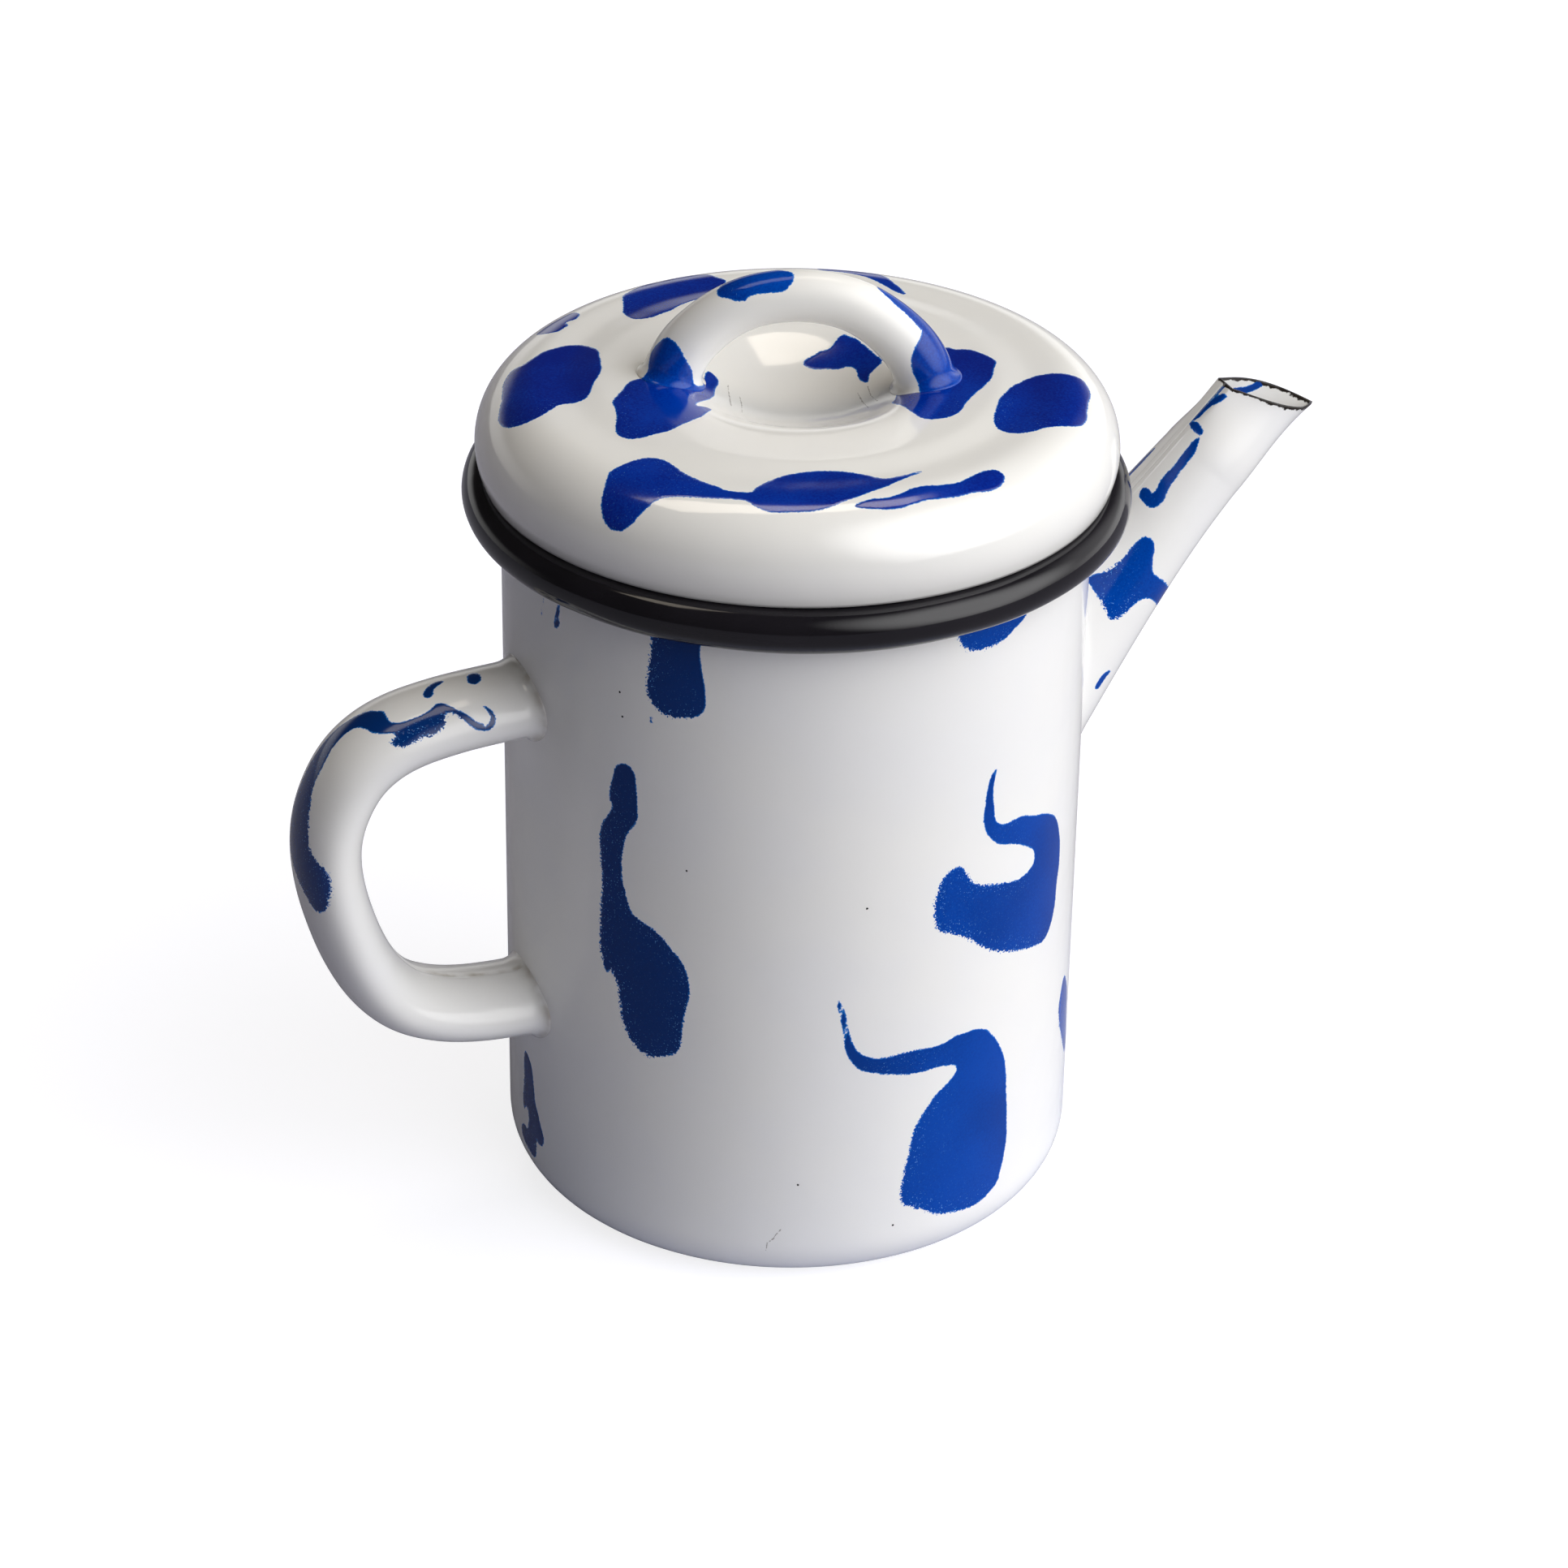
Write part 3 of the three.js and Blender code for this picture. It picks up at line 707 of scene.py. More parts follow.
# Outlines on the unrolled handle: how far along from the lower root, then how far round
# from the outer side, towards the near side.
handle_splashes = [
    [
        (86.2, -0.2), (85.4, -1.6), (83.9, -2.6), (81.5, -3.6), (79, -4.2), (74, -4.3),
        (70, -4.2), (66.7, -3.8), (63.3, -3), (60.6, -1.2), (58.9, 1), (57, 3.2),
        (55.5, 4.9), (54.6, 6.3), (55.3, 7.9), (56.6, 9), (58.2, 9.5), (59.8, 10),
        (61.3, 9.9), (62.5, 9.5), (63.4, 8.5), (64.1, 7.1), (65, 5.9), (66, 5.1),
        (68.1, 4.3), (70.2, 3.3), (71.8, 2.5), (73.4, 1.7), (74.9, 1.4), (76.5, 1.2),
        (78.1, 0.5), (79.7, -0.1), (81.4, -0.2), (82.9, 0.7), (83.6, 2.2), (84.2, 3.9),
        (85.5, 5.5), (86.8, 6.5), (88, 7.2), (89.7, 7.8), (91.7, 7.6), (93.1, 7.5),
        (94.2, 7), (94.8, 6.4), (95.6, 5.5), (95.1, 4.5), (94.1, 4.2), (92.7, 5),
        (90.6, 5.4), (88.7, 5.4), (87.5, 4.9), (86.7, 3.9), (86.8, 2.2), (86.8, 0.8),
    ],
    [
        (85.7, 7.5), (86.7, 7.2), (86.8, 6.5), (88, 7), (89.7, 7.2), (91.6, 7.2),
        (93, 7), (94.3, 6.5), (94.8, 6.4), (93.9, 8.2), (92.9, 9), (91.3, 9.3),
        (89.9, 9), (88.4, 9.2), (87.1, 9.2), (86, 8.6),
    ],
    [
        (94.9, 6.1), (95.9, 6.6), (96.7, 7.6), (97.5, 8.9), (98.2, 9.9), (99.1, 10.7),
        (100.1, 10.8), (99.8, 10), (99.1, 9.6), (98.3, 8.6), (97.5, 7.5), (96.6, 6.4),
        (95.7, 5.3),
    ],
    [
        (99.5, 10.8), (100.6, 10.6), (101.3, 10), (101.7, 9.2), (101.5, 8.2),
        (101.1, 7.1), (101.8, 7.9), (102.2, 9.3), (101.8, 10.5), (100.7, 11.1),
    ],
    [
        (100.9, -0.8), (101.6, -1.8), (102.5, -1.9), (102.9, -0.9), (102.7, 0.5),
        (101.9, 1.5), (101.1, 1.6), (100.6, 0.9),
    ],
    [
        (93.1, 1.4), (93.5, 0), (94.7, -1.4), (96.1, -2.3), (97.1, -1.8), (96.1, -1.1),
        (95, -0.1), (94.3, 1.6), (93.6, 1.9),
    ],
]
ring_angles = np.linspace(0, np.pi, 400)
ring_across, ring_up = handle_half_width * np.cos(ring_angles), np.sin(ring_angles)
ring_speed = np.hypot(ring_across, handle_half_thickness * ring_up)
ring_length = np.cumsum(ring_speed) * (ring_angles[1] - ring_angles[0])
handle_round = np.sign(handle_a) * np.interp(np.abs(handle_a), ring_angles, ring_length)
handle_depth, handle_side = splashed(handle_s, handle_round, handle_splashes)
note(side_handle, "depth", handle_depth)
dry_part = np.abs(handle_s - dry_middle) < dry_reach
dry_side = smoothstep(handle_round, *dry_edge) * dry_part
note(side_handle, "side", np.maximum(handle_side, dry_side.ravel()))
root_tint = tint_strength * np.exp(-((wall_gap(handle_grid) / tint_reach) ** 2))
seam_tint = np.exp(-(((np.pi - np.abs(handle_a)) / seam_width) ** 2))
seam_tint = seam_tint * (1 - smoothstep(handle_s, *seam_tint_end))
note(side_handle, "weld", np.maximum(root_tint, seam_tint))
# Painted shade: a constant shade darkens the handle's blue, as the handle stands in the pot's
# shadow.
note(side_handle, "shade", np.full(handle_s.shape, handle_shade))
handle_marks = [(-61.5, -9.0, 37.6, 0.45)]
side_handle.data.materials.append(
    white_enamel("splashed_handle_enamel", deep_blue, cobalt, handle_marks, gloss=0.4)
)
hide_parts("side_handle")

# Spout
# Two pressed half shells, welded along a blunt back seam and a sharp front one, and to the
# wall. Oval at the root, leaf-shaped at the mouth, whose thin cut edge burnt to black.

spout_sheet = 1.2
spout_lip = 0.5
spout_waist = 0.7
lip_start = 0.8
back_root, back_tip = np.array([50, 104.0]), np.array([80.5, 135.6])
front_seam = np.array([(50, 69), (67.6, 98.33), (78.82, 115.52), (98.2, 129.1)])
root_width, waist_width, mouth_width = 26, 17, 11.6
blunt_half_width = 1.2
blunt_steps = (0, 0.25, 0.5, 0.75)
leaf_sizes = (0.39, 2.85, 4.95)
spout_growth = 2.0
spout_spread = 3.0
spout_flare = (0.3, 1, 1)
spout_columns = 60
spout_length = 50
far_shift = 7.0
burnt_black = (0.02, 0.016, 0.014)
burnt_edge = (0.36, 0.56)
burnt_wander = 1.5


def spout_side(along, across, blunt, inset):
    """The near side of the spout at shares along it and across it from the back seam.

    The half width is an ellipse's, 2 sqrt(across (1 - across)), and turns to a leaf's, a
    cubic, from the waist to the mouth. The fourth root of the sum of fourth powers rounds
    it into the blunt back. An inset moves all of it inwards.
    """
    along, across, blunt, inset = np.broadcast_arrays(along, across, blunt, inset)
    rest = 1 - along
    back = back_root + (back_tip - back_root) * along[..., None]
    weights = (rest**3, 3 * rest**2 * along, 3 * rest * along**2, along**3)
    front = sum(weight[..., None] * point for weight, point in zip(weights, front_seam))
    way = front - back
    way = way / np.linalg.norm(way, axis=-1)[..., None]
    back, front = back + way * inset[..., None], front - way * inset[..., None]
    width = root_width + (waist_width - root_width) * np.minimum(along / spout_waist, 1)
    to_mouth = smoothstep(along, spout_waist, 1)
    half = (width + (mouth_width - width) * to_mouth) / 2 - inset
    left = 1 - across
    ellipse = 2 * np.sqrt(np.maximum(across * left, 0))
    bends = (left**3, left**2 * across, left * across**2)
    leaf = sum(size * bend for size, bend in zip(leaf_sizes, bends))
    full = (ellipse + (leaf - ellipse) * to_mouth) * half
    side = (full**4 + (blunt_half_width * left**2) ** 4) ** 0.25 * blunt
    seam = back + (front - back) * across[..., None]
    point = np.stack([seam[..., 0], -side, seam[..., 1]], axis=-1)
    middle = (back + front) / 2
    return point, np.stack([middle[..., 0], 0 * side, middle[..., 1]], axis=-1)


share = (1 - np.cos(np.linspace(0, np.pi, spout_columns))) / 2
across = np.concatenate([np.zeros(len(blunt_steps)), share])
blunt = np.concatenate([blunt_steps, np.ones(spout_columns)])


def spout_skin(along, across):
    """The half shell's skin, drawn up round its root as a tube's section is."""
    point, middle = spout_side(along, across, blunt, 0)
    gap = np.maximum(wall_gap(point), 0)
    away = (point - middle) * spout_flare
    unit = away / np.linalg.norm(away, axis=-1)[..., None]
    return point + unit * fillet(gap, spout_growth, spout_spread)[..., None]


root = sunk(spout_skin, across, wall_gap, depth=0.5, clear=0.3, buried=-0.4)
stations = np.concatenate([np.linspace(0, 0.96, 110), np.linspace(0.96, 1, 14)[1:]])
along = root + (1 - root) * stations[:, None]
outer = spout_skin(along, across)
thickness = spout_sheet + (spout_lip - spout_sheet) * smoothstep(along, lip_start, 1)
inner_point, _ = spout_side(along, across, blunt, thickness)
inner_point[..., 0] = np.maximum(inner_point[..., 0], outer[..., 0].min(0))
half_grid = np.concatenate([outer, inner_point[:, ::-1]], axis=1)
round_root = np.linalg.norm(np.diff(outer, axis=1), axis=-1).cumsum(1)
spout_round = np.concatenate([np.zeros((len(along), 1)), round_root], axis=1)
spout_splashes = [
    [
        (4.5, 6.3), (6.4, 7), (8.2, 7.9), (10.1, 8.5), (11.8, 8.7), (13.5, 8.8),
        (15.2, 8.6), (16.7, 8.6), (18.1, 8.9), (19.1, 9.6), (19.6, 10.7), (19.2, 11.9),
        (18.5, 12.9), (17.8, 13.9), (17.4, 15.3), (18, 16.8), (18.8, 18.8), (19.8, 23.5),
        (19.3, 24.4), (18.3, 24.5), (17.6, 24.6), (16.5, 20.8), (15.6, 19.1), (14.4, 18),
        (13, 17.5), (11.5, 17.4), (9.8, 17.4), (8.1, 16.9), (6.8, 16.3), (6.2, 14.7),
        (5.9, 13), (5.6, 11.5), (5.1, 9.6), (4.8, 7.9),
    ],
    [
        (23, 2.2), (23.8, 2.1), (24.4, 2.8), (24.5, 3.8), (24.5, 4.5), (25.6, 4.6),
        (27, 4.1), (28.3, 3.9), (29.8, 3.9), (31.1, 4.1), (32.7, 3.9), (34.3, 3.7),
        (35.7, 3.7), (37.2, 3.6), (38.4, 3.9), (37, 4.6), (35.5, 5.1), (34, 5.2),
        (32.6, 5.4), (31.2, 5.4), (29.7, 5.7), (28.1, 5.9), (26.6, 6.4), (25.4, 6.8),
        (24.1, 6.8), (22.8, 6.2), (22.3, 4.9), (22.3, 3),
    ],
    [(39.6, 0), (40, 0.3), (40.5, 1.8), (40, 3.4), (39.1, 3.7), (39, 2.5), (39.2, 1)],
    [
        (39.8, -0.5), (41.8, -0.3), (44.1, 0.1), (46, 0.7), (48, 1.6), (48, 2.7),
        (46.3, 2.2), (44.9, 1.4), (43.2, 1), (41.5, 0.9),
    ],
    [
        (2.3, 25.5), (3.2, 25), (4.2, 24.7), (5.4, 25.1), (5.9, 25.7), (4.9, 25.8),
        (3.9, 26.2), (3.1, 26.6),
    ],
    [(41, 0.1), (44, 0.1), (47, 0.2), (49.8, 0.3), (49.8, 0.8), (47, 0.5), (44, 0.4), (41, 0.4)],
]
mouth_stroke = [[
    (47.2, 8.6), (47.9, 10.4), (48.2, 11.7), (48.9, 12.7), (49.5, 13.2), (50.4, 13.4),
    (50.4, 14.6), (49.2, 14.6), (48.3, 14), (47.4, 13), (46.7, 11.6), (46.5, 9.4),
]]


def burnt_lip(place, colour):
    """Black within a ragged hair of the mouth's edge, and the colour beyond it."""
    ragged = place.attribute("edge") + (place.noise(0.8, 3.0) - 0.5) * burnt_wander
    return ragged.above(*burnt_edge).between(burnt_black, colour)


spout_material = white_enamel("splashed_spout_enamel", deep_blue, cobalt, over=burnt_lip)
spout_along = along * spout_length
to_edge = (1 - along) * spout_length
spout_halves = [
    ("spout_near_half", 1, 0, spout_splashes, []),
    ("spout_far_half", -1, far_shift, spout_splashes[:2], mouth_stroke),
]
for name, mirror, shift, strokes, inner_strokes in spout_halves:
    half = surface("enamel_" + name, half_grid * (1, mirror, 1), "pot")
    depth, side = splashed(spout_along + shift, spout_round, strokes)
    within, _ = splashed(spout_along, spout_round, inner_strokes)
    within = within.reshape(along.shape)[:, ::-1]
    note(half, "depth", np.hstack([depth.reshape(along.shape), within]))
    note(half, "side", np.hstack([side.reshape(along.shape), 0 * within]))
    note(half, "edge", np.hstack([to_edge, to_edge[:, ::-1]]))
    half.data.materials.append(spout_material)
    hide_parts(name)

# Lid
# One deep pressing of steel: a round dish in the middle, a soft step near the edge and a
# wide rounded shoulder that stops just above the black rim. Splashed as the pot is.

lid_deck = 150.55
lid_top = 149.85
deck_edge = 33.5
step_end = 38.5
shoulder_centre = (43.2, 138.85)
shoulder_radius = 11
shoulder_end, inner_shoulder_end = -24.7, -28
dish_radius = 20.0
dish_depth = 6.3
dish_blur = 2.4
dish_join = 27.5
dish_spare = 0.81
dish_reach = 30
lid_columns = 480
lid_grain = 0.25

ball_radius = (dish_radius**2 + dish_depth**2) / (2 * dish_depth)
ball_height = lid_deck - dish_depth + ball_radius
dish_tilt = np.degrees(np.arcsin(dish_radius / ball_radius))
dish = arc(0, ball_height, ball_radius, -90 - dish_tilt, dish_tilt - 90, 48)
dish = soften(np.vstack([(-deck_edge, lid_deck), dish, (deck_edge, lid_deck)]), 0.5, dish_blur)
dish_rings = np.linspace(0, dish_reach, 40)
dish = np.column_stack([dish_rings, np.interp(dish_rings, dish[:, 0], dish[:, 1])])
lid_step = np.array([(deck_edge, lid_deck), (step_end, lid_top)])
shoulder = arc(*shoulder_centre, shoulder_radius, 90, shoulder_end, 40)
inner_radius = shoulder_radius - body_sheet
inner_shoulder = arc(*shoulder_centre, inner_radius, 90, inner_shoulder_end, 30)
lid_outside = np.vstack([dish, lid_step, shoulder])
lid_inside = np.vstack([dish - (0, body_sheet), lid_step - (0, body_sheet), inner_shoulder])
lid_line = soften(lid_outside, 0.6, 0.8)
lid_under = soften(lid_inside, 2.5, 1.1)[::-1]
lid_profile = np.vstack([lid_line, lid_under])
lid_shell = surface("enamel_lid_shell", turned(lid_profile, lid_columns), "lid", ends="pole")

# Outlines on the lid spread flat: each point as far from the middle as it is along the
# lid, with the dish pressed flat.
lid_splashes = [
    [
        (-46.7, 17.9), (-45.4, 20.1), (-43.9, 21.8), (-42.4, 22.2), (-41.2, 22.2),
        (-39, 23.4), (-36.5, 24.9), (-34.2, 25.6), (-32.2, 25.9), (-30.3, 25.5),
        (-29, 24.4), (-28.2, 22.5), (-28, 20.6), (-28.6, 18.6), (-29.3, 16.3), (-29.9, 14),
        (-30.8, 12.3), (-32.3, 10.2), (-33.6, 8.5), (-35.1, 5.9), (-36.4, 4.4),
        (-38.2, 3.8), (-40.1, 4), (-41.5, 3.9), (-43.3, 2.7), (-45.6, 1.4), (-47.9, 1.4),
        (-49.7, 2.4), (-51, 4), (-51.5, 5.9), (-51.5, 7.9), (-50.7, 9.7), (-49.5, 11.8),
        (-48.3, 14),
    ],
    [
        (-34.1, 34.9), (-32.5, 36.6), (-30.1, 38.2), (-28, 39.1), (-26.2, 39.6),
        (-25.4, 38.8), (-25.4, 37.5), (-26.5, 35.8), (-27.9, 35.5), (-28.7, 35.1),
        (-28.8, 33.8), (-29.6, 33), (-31.4, 32), (-32.9, 32.5), (-34, 33.7),
    ],
    [
        (-15.8, 41.6), (-14.6, 43), (-12.5, 44.6), (-9.8, 46.6), (-7.2, 46.5),
        (-4.4, 47.3), (-1.8, 47.5), (0.5, 46.7), (2, 45.4), (2.8, 43.4), (3.5, 41.6),
        (2.4, 39.7), (0.1, 37.6), (-2.9, 35.5), (-5.6, 34.5), (-8.1, 33.4), (-10.3, 31.9),
        (-12.8, 31), (-14.7, 30.3), (-16.3, 30.4), (-17.6, 31.3), (-18.1, 33.6),
        (-18.1, 35.6), (-17.1, 37.9), (-16.4, 39.8),
    ],
    [
        (-33.2, 0.6), (-31.6, 2.6), (-29.9, 4.6), (-27.8, 7), (-25.4, 7.7), (-22.4, 5.9),
        (-19.4, 4.3), (-16.7, 3.7), (-15.1, 6.2), (-13.7, 8.4), (-12.5, 10.3), (-11.7, 10.7),
        (-11.2, 9.9), (-11.2, 8.4), (-12.6, 6.4), (-14, 3.5), (-17.2, -0.7),
        (-20.2, -4.4), (-18.2, -5.7), (-20.9, -9.4), (-23.4, -10.6), (-25.8, -11.7),
        (-28.3, -13), (-30, -13.3), (-32.8, -13.4), (-34.9, -12.8), (-36, -11.5),
        (-36.3, -9.3), (-35.3, -6.4), (-34.5, -4.7), (-33.7, -2.2),
    ],
    [
        (-45.8, -26), (-44.8, -24.8), (-43.4, -23), (-42, -21.4), (-40.4, -20.9),
        (-38.1, -20.1), (-35.9, -19.6), (-34.1, -20), (-32.7, -21.3), (-31.9, -23.5),
        (-31.4, -26.2), (-30.7, -28.6), (-29.5, -31.3), (-28.3, -33.3), (-27.3, -35.3),
        (-25.5, -36.7), (-23.8, -37.4), (-22.5, -36.2), (-20.2, -34.9), (-17.2, -34.1),
        (-14.6, -34.1), (-12.1, -34.5), (-9.6, -35.2), (-7.4, -36.2), (-5.3, -37.4),
        (-3.6, -38.8), (-2.8, -39.9), (-1.4, -40.8), (0.3, -40.8), (2.8, -40.5),
        (5, -40.3), (3, -40.9), (0.9, -41.6), (-1.2, -42.4), (-3.4, -43.4), (-6, -44.1),
        (-8.5, -44.8), (-10.7, -45.1), (-13.2, -45.6), (-15.4, -45.6), (-17.3, -45.2),
        (-19.7, -44.4), (-22, -43.5), (-23.6, -42.2), (-24.7, -40.5), (-25, -39.5),
        (-25.6, -38.7), (-27.4, -37.5), (-29.9, -36.2), (-33.1, -34.2), (-36.5, -32.2),
        (-38.6, -31.9), (-39.8, -32.2), (-41.6, -32.5), (-43.6, -33), (-45.7, -32.4),
        (-47, -30.7), (-47.1, -28.5),
    ],
    [
        (-9.4, -46.7), (-8.6, -46.2), (-6.3, -46), (-3.8, -46.4), (-1.5, -46),
        (1.2, -45.1), (3.9, -45.1), (6.3, -45.5), (9, -45.4), (11.3, -44.5), (13.3, -43.6),
        (15.1, -43.2), (16.6, -43.4), (17.3, -44.2), (17.3, -45.2), (16.4, -46.5),
        (15.2, -47.3), (13.2, -47.8), (10.8, -47.8), (7.9, -48.2), (5.2, -48.3),
        (2.6, -48.2), (-0.2, -48.5), (-2.6, -48.8), (-5.5, -48.3), (-8.1, -47.4),
    ],
    [
        (25.4, -24), (27.5, -20.9), (30.3, -18), (32.5, -16.1), (33.6, -15.6),
        (35.5, -14.3), (37.9, -13.6), (40.3, -13.5), (42.4, -14), (44, -14.8),
        (45.3, -15.8), (45.5, -17.8), (44.8, -20.8), (42.7, -24.1), (41.3, -26.6),
        (40, -29.3), (38.1, -31.2), (35.4, -32), (32.9, -32.2), (30.4, -32.5),
        (27.9, -33.1), (25.2, -32.8), (23.5, -31.5), (22.9, -29.9), (23.4, -27.6),
    ],
    [
        (27, 0.6), (28.5, -0.2), (29.7, -0.6), (31.2, -1.5), (32.2, -3.3), (33, -5.2),
        (33.2, -7.3), (31.7, -9.7), (30.1, -12.6), (28, -14.9), (25.5, -17), (23.3, -18.9),
        (21.3, -20.9), (19.3, -23.3), (17.2, -24.4), (15.2, -24.6), (13.3, -24.2),
        (12.2, -22.8), (11.8, -20.3), (11.7, -18.4), (11.6, -13.1), (12.8, -11.4),
        (14.5, -8.4), (15.7, -5.5), (17.8, -5.6), (22.1, -4.4),
    ],
    [
        (5.8, 11.4), (8, 12.1), (9.3, 12.4), (10.9, 12.2), (13.5, 13.5), (14.6, 12.6),
        (15.8, 10.4), (16.8, 3.9), (15.6, 2.8), (13.8, 2.1), (12.8, 0.4), (12.4, 2.4),
        (12.7, 4.9), (11.9, 6.6), (10.6, 6.9), (8.9, 8.1), (6.5, 9.7),
    ],
    [
        (24, 42), (29, 36.8), (30.4, 34.6), (30.6, 30.6), (30.7, 27.6), (30.5, 25),
        (29.4, 27.7), (28.7, 30.6), (27.6, 33.7), (25.5, 37), (21, 41),
    ],
]
lid_blue_low = (0.0, 0.012, 0.22)
lid_blue_high = (0.0, 0.035, 0.36)
lid_cracks = [
    [(-9.5, 7.8, 146.6), (-10.8, 3.8, 146.3), (-11.9, 0.5, 146.4)],
    [(-8.7, 4.5, 145.8), (-9.4, 1.9, 145.7), (-10.9, -2.0, 146.2)],
    [(10.3, -1.3, 145.9), (9.6, -4.7, 146.0), (9.0, -8.7, 146.7)],
    [(12.3, -0.9, 146.6), (11.4, -4.2, 146.5), (11.1, -7.6, 147.1)],
]
under_reach = 200.0

lid_ring, lid_length = lid_line[:, 0], lengths(lid_line)
on_deck = lid_ring < deck_edge
join_reach = np.interp(dish_join, lid_ring[on_deck], lid_length[on_deck]) - dish_spare
pressed = lid_ring * join_reach / dish_join
lid_reach = np.where(lid_ring < dish_join, pressed, lid_length - dish_spare)
x, y, _ = places(lid_shell).T
outer_reach = np.concatenate([[0], np.repeat(lid_reach[1:], lid_columns)])
reach = np.concatenate([outer_reach, np.full(len(x) - len(outer_reach), under_reach)])
angle = np.arctan2(y, x)
depth, side = splashed(reach * np.cos(angle), reach * np.sin(angle), lid_splashes)
note(lid_shell, "depth", depth)
note(lid_shell, "side", side * lid_grain)
lid_enamel = white_enamel(
    "splashed_lid_enamel", lid_blue_low, lid_blue_high, cracks=lid_cracks, warmth=0.8, gloss=0.9
)
lid_shell.data.materials.append(lid_enamel)
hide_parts("lid_shell")

# Lid collar
# A ring bent to an L. Its flange lies on the rim inside the lid's edge, and its skirt
# keeps the lid centred in the mouth. White enamel outside and in.

collar_corners = [
    (47, 121.25), (48, 121.25), (48, 134.25), (51.55, 134.25), (51.55, 135.25), (47, 135.25),
    (47, 121.25),
]
collar_columns = 256

collar_fine = soften(np.array(collar_corners, float), 0.25, 0.02)[:-1]
collar_line = sum((3 - abs(s)) / 9 * np.roll(collar_fine, s, axis=0) for s in range(-2, 3))
collar_grid = turned(collar_line, collar_columns)
lid_collar = surface("enamel_lid_collar", collar_grid, "lid", ends="joined")
note(lid_collar, "depth", np.full(collar_grid.shape[:2], -splash_margin))
note(lid_collar, "side", np.zeros(collar_grid.shape[:2]))
lid_collar.data.materials.append(white_enamel("collar_enamel", deep_blue, cobalt))
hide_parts("lid_collar")

# Lid handle
# A smaller rolled tube bent to an arch, thicker at its feet, welded on either side of the
# dish and turned towards the near right. Blue ran over both feet and the crown.

arch_half_span = 21.7
arch_rise = 14.25
arch_half_width = 4.2
arch_half_thickness = 4.4
arch_turn = np.radians(-23)
arch_growth = 1.5
arch_spread = 2.2
arch_blue_low = (0.0, 0.03, 0.28)
arch_blue_high = (0.0, 0.065, 0.44)
leg = np.array([
    (1, -0.3), (0.965, 0.02), (0.87, 0.32), (0.73, 0.56), (0.57, 0.755), (0.39, 0.9),
    (0.19, 0.975),
])
deck_line = soften(lid_outside, 0.4, 1.1)
deck_line = deck_line[deck_line[:, 0] < step_end]
foot_swell = 0.13
right_foot_swell = 0.05
swell_reach = 14


def deck_gap(points):
    """How far points stand above the lid's top at their distance from its axis."""
    radius = np.hypot(points[..., 0], points[..., 1])
    return points[..., 2] - np.interp(radius, deck_line[:, 0], deck_line[:, 1])


def legs_thicker(s, total):
    """The arch swells towards each foot by its swell times e^(-(from the foot / reach)^2),
    and towards the right one by a second swell."""
    right = total - s
    both = foot_swell * np.exp(-((np.minimum(s, right) / swell_reach) ** 2))
    return 1 + both + right_foot_swell * np.exp(-((right / swell_reach) ** 2))


arch_points = np.vstack([leg * (-1, 1), [(0, 1)], leg[::-1]])
arch_points = arch_points * (arch_half_span, arch_rise) + (0, lid_deck)
arch_line = soften(through(arch_points, 12, False), 0.3, 1.2)
arch_section = (arch_half_width, arch_half_thickness)
arch_at, arch_length = tube(
    arch_line, *arch_section, deck_gap, arch_growth, arch_spread, legs_thicker
)
arch_grid, arch_s, arch_a = tube_grid(
    arch_at, arch_length, deck_gap, depth=0.35, reach=9, rows=200, columns=96
)
lid_handle = surface("enamel_lid_handle", spun(arch_grid, arch_turn), "lid")

# Outlines on the unrolled arch: how far along from its crown, then how far round from its
# outer side, towards the near side.
arch_splashes = [
    [
        (-12, 1.8), (-11.6, 0), (-10, -1.4), (-7, -2.2), (-4, -1.6), (-1.8, 0), (-0.9, 1.2),
        (-0.9, 2.4), (-1.5, 3.6), (-2.3, 4.3), (-3.6, 4.5), (-5.5, 4.4), (-6.7, 4.3),
        (-7.9, 4.5), (-8.9, 4.8), (-10.1, 4.1), (-11.2, 3),
    ],
    [
        (-33, 1), (-30, 2.6), (-27.3, 2.4), (-26.5, 2.0), (-24.9, 1.1), (-23.3, 1.4), (-22, 2),
        (-21.4, 2.7), (-21.1, 4), (-21.3, 5.6), (-22.1, 7.2), (-23.2, 8.7), (-24, 9.4),
        (-25.2, 9.9), (-26.6, 10.6), (-27.6, 12.4), (-28.4, 14.5), (-33, 14.5),
    ],
    [
        (11.2, -0.8), (13, -1.8), (16, -2.4), (19, -2.8), (22, -3), (26, -3.2), (30, -3.4),
        (33, -3), (33, 7), (30, 7.5), (27, 7.6), (24.9, 7.7), (23.2, 7.6), (21.3, 6.7),
        (20.3, 5.2), (19.9, 3.7), (19.5, 2.4), (18.7, 2.4), (16.1, 2), (13.7, 1.4),
        (11.6, 0.2),
    ],
]
arch_round = arch_half_thickness * arch_a
depth, side = splashed(arch_s - arch_length / 2, arch_round, arch_splashes)
note(lid_handle, "depth", depth)
note(lid_handle, "side", side * lid_grain)
note(lid_handle, "weld", tint_strength * np.exp(-(deck_gap(arch_grid) ** 2)))
lid_handle.data.materials.append(
    white_enamel("splashed_arch_enamel", arch_blue_low, arch_blue_high, warmth=0.8, gloss=0.3)
)
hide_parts("lid_handle")

# Floor and light
# A white sweep under the pot and a white backdrop behind it. A broad window to the near
# right lights the pot, and a warm lamp above it adds the streak along the rim and the lid.

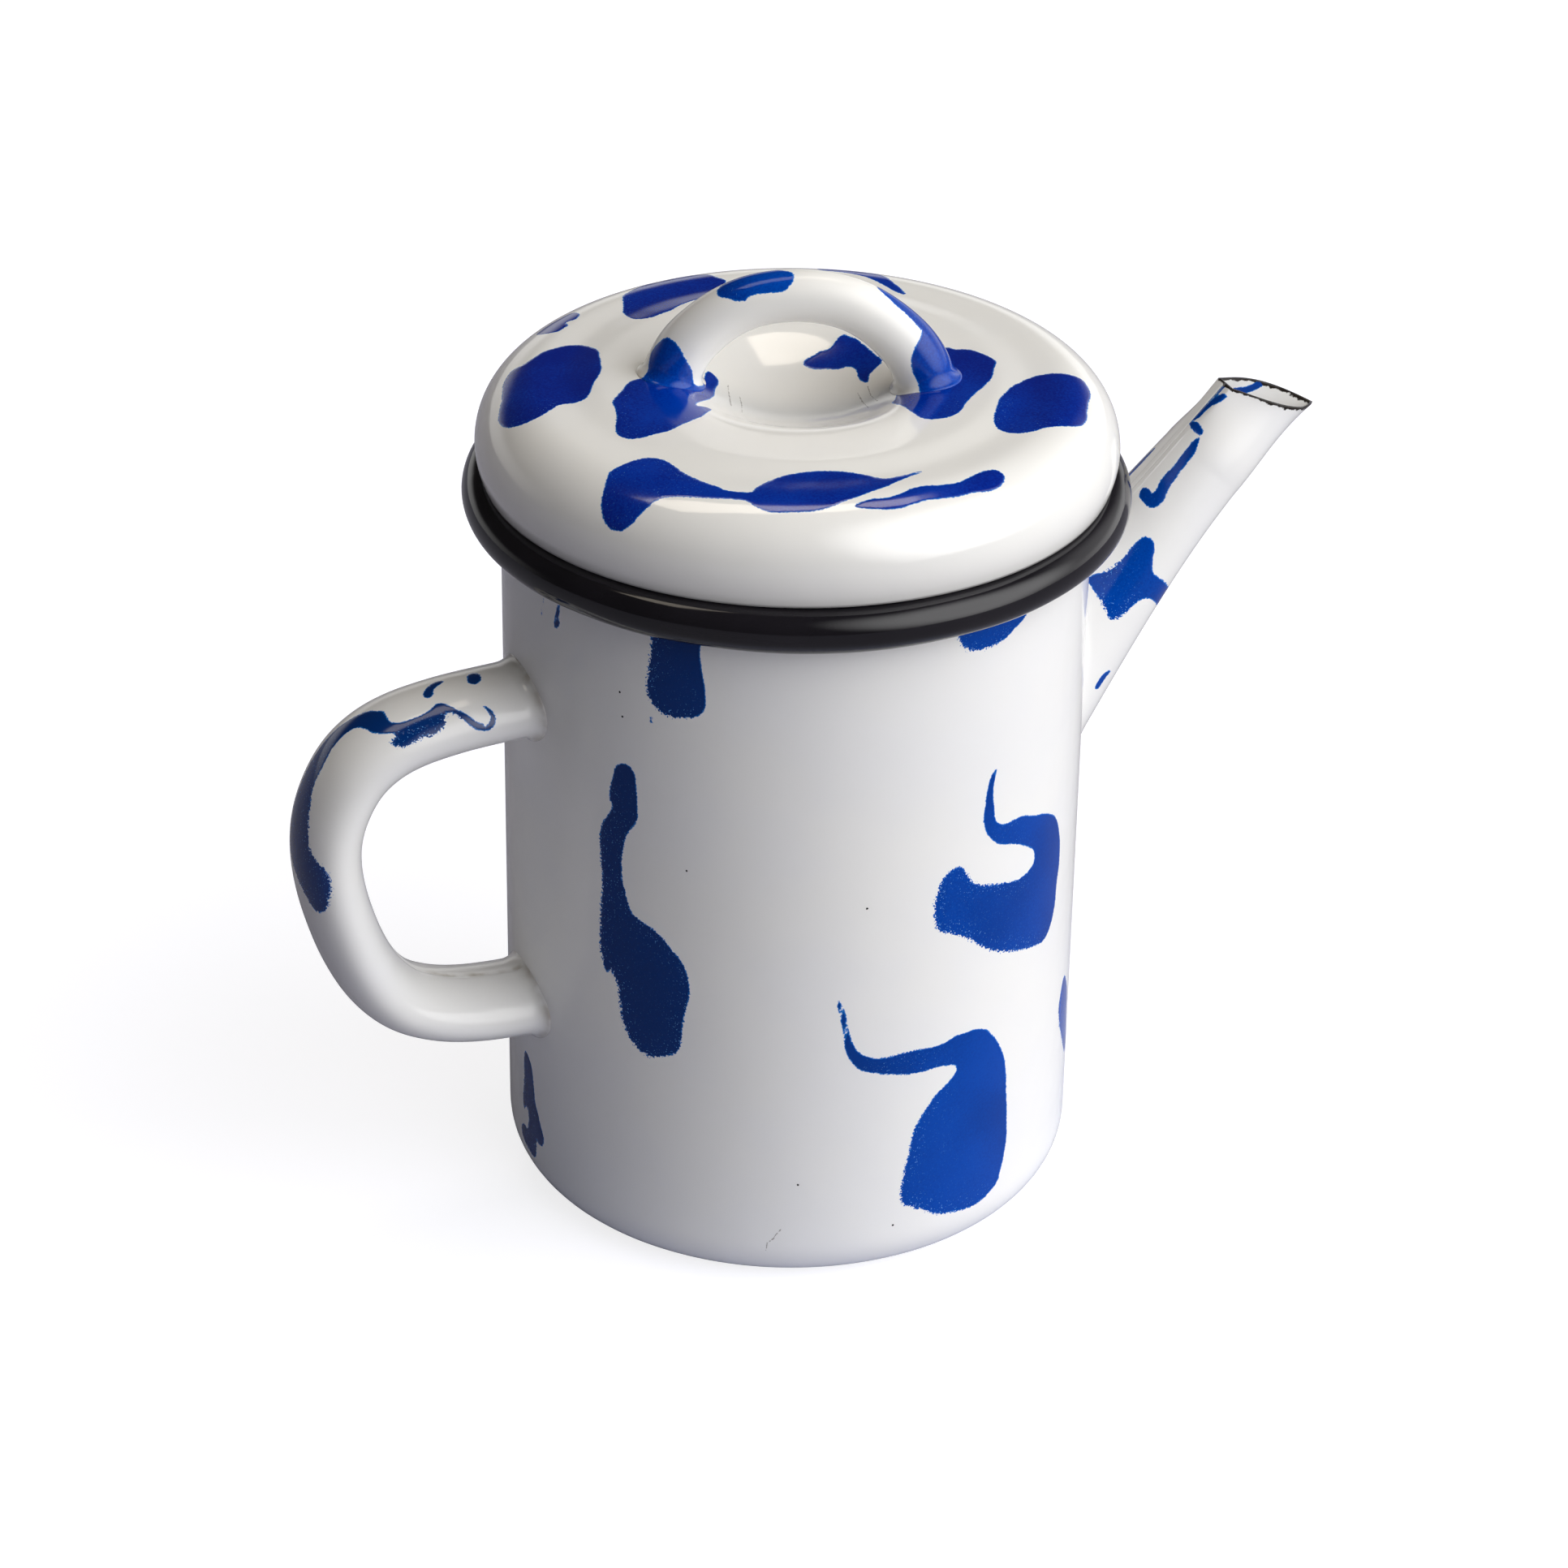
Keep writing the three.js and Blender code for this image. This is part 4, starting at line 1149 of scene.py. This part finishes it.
floor_half_size = 6.0
near_floor, far_floor = (0.5, 0.52, 0.64), (0.34, 0.34, 0.4)
floor_edge = (0.06, 0.14)
seen_floor = (0.36, 0.36, 0.42, 1)
seen_glow = 0.8
plain_white = (1, 1, 1, 1)
window_light = 3.65
side_light = 0.85
horizon_light = 0.85
dark_light = 0.03
lamp_bearing, lamp_rise = 95, 78
lamp_distance = 1.1
lamp_target = (0, 0, 0.07)

floor = bpy.data.objects.new("floor", bpy.data.meshes.new("floor"))
corners = np.array([(-1, -1, 0), (1, -1, 0), (1, 1, 0), (-1, 1, 0)]) * floor_half_size
floor.data.from_pydata(corners.tolist(), [], [(0, 1, 2, 3)])
bpy.context.scene.collection.objects.link(floor)
floor_material, floor_place = new_material("white_sweep")
away = floor_place.vector("LENGTH", "Value") + (floor_place.noise(0.01, 2.0) - 0.5) * 0.02
card = away.above(*floor_edge).between(near_floor, far_floor)
matt = floor_place.node("BsdfDiffuse", (), {"Color": card})
pale = floor_place.node("BsdfDiffuse", (), {"Color": seen_floor})
glow = floor_place.node("Emission", (), {"Color": plain_white, "Strength": seen_glow})
lit = floor_place.node("AddShader", (), {0: pale, 1: glow})
from_camera = floor_place.node("LightPath", (), (), "Is Camera Ray")
mixed = floor_place.node("MixShader", (), {"Fac": from_camera, 1: matt, 2: lit})
floor_place.node("OutputMaterial", (), {"Surface": mixed})
floor.data.materials.append(floor_material)

world = bpy.data.worlds.new("studio")
world.use_nodes = True
world.node_tree.nodes.clear()
sky = Term(world.node_tree, None).node("TexCoord", output="Generated")
height = sky.node("SeparateXYZ", (), {0: sky}, 2)


def towards(bearing, rise):
    """The direction (cos b cos r, sin b cos r, sin r) of a bearing and a rise in degrees."""
    b, r = np.radians([bearing, rise])
    return np.array([np.cos(b) * np.cos(r), np.sin(b) * np.cos(r), np.sin(r)])


def sky_spot(bearing, rise, core, rim):
    """1 within core degrees of a direction of the sky and 0 beyond rim degrees from it."""
    along = sky.vector("DOT_PRODUCT", "Value", towards(bearing, rise).tolist())
    return along.above(np.cos(np.radians(rim)), np.cos(np.radians(core)))


window = sky_spot(-50, 32, 14, 47) * window_light + sky_spot(5, 12, 5, 40) * side_light
horizon = sky_spot(67, 0, 35, 100) * (1.0 - height.above(0.12, 0.3)) * horizon_light
strength = window + horizon + dark_light
ambient = sky.node("Background", (), {"Color": plain_white, "Strength": strength})
white = sky.node("Background", (), {"Color": plain_white, "Strength": 1.0})
seen_by_camera = sky.node("LightPath", (), (), "Is Camera Ray")
both = sky.node("MixShader", (), {"Fac": seen_by_camera, 1: ambient, 2: white})
sky.node("OutputWorld", (), {"Surface": both})
bpy.context.scene.world = world

lamp = bpy.data.objects.new("overhead", bpy.data.lights.new("overhead", "AREA"))
lamp.data.shape = "RECTANGLE"
lamp.data.size, lamp.data.size_y = 0.95, 0.26
lamp.data.energy = 2.5
lamp.data.color = (1.0, 0.9, 0.76)
back, side = towards(lamp_bearing, lamp_rise), towards(lamp_bearing + 90, 0)
stand(lamp, side, back, back * lamp_distance + lamp_target)
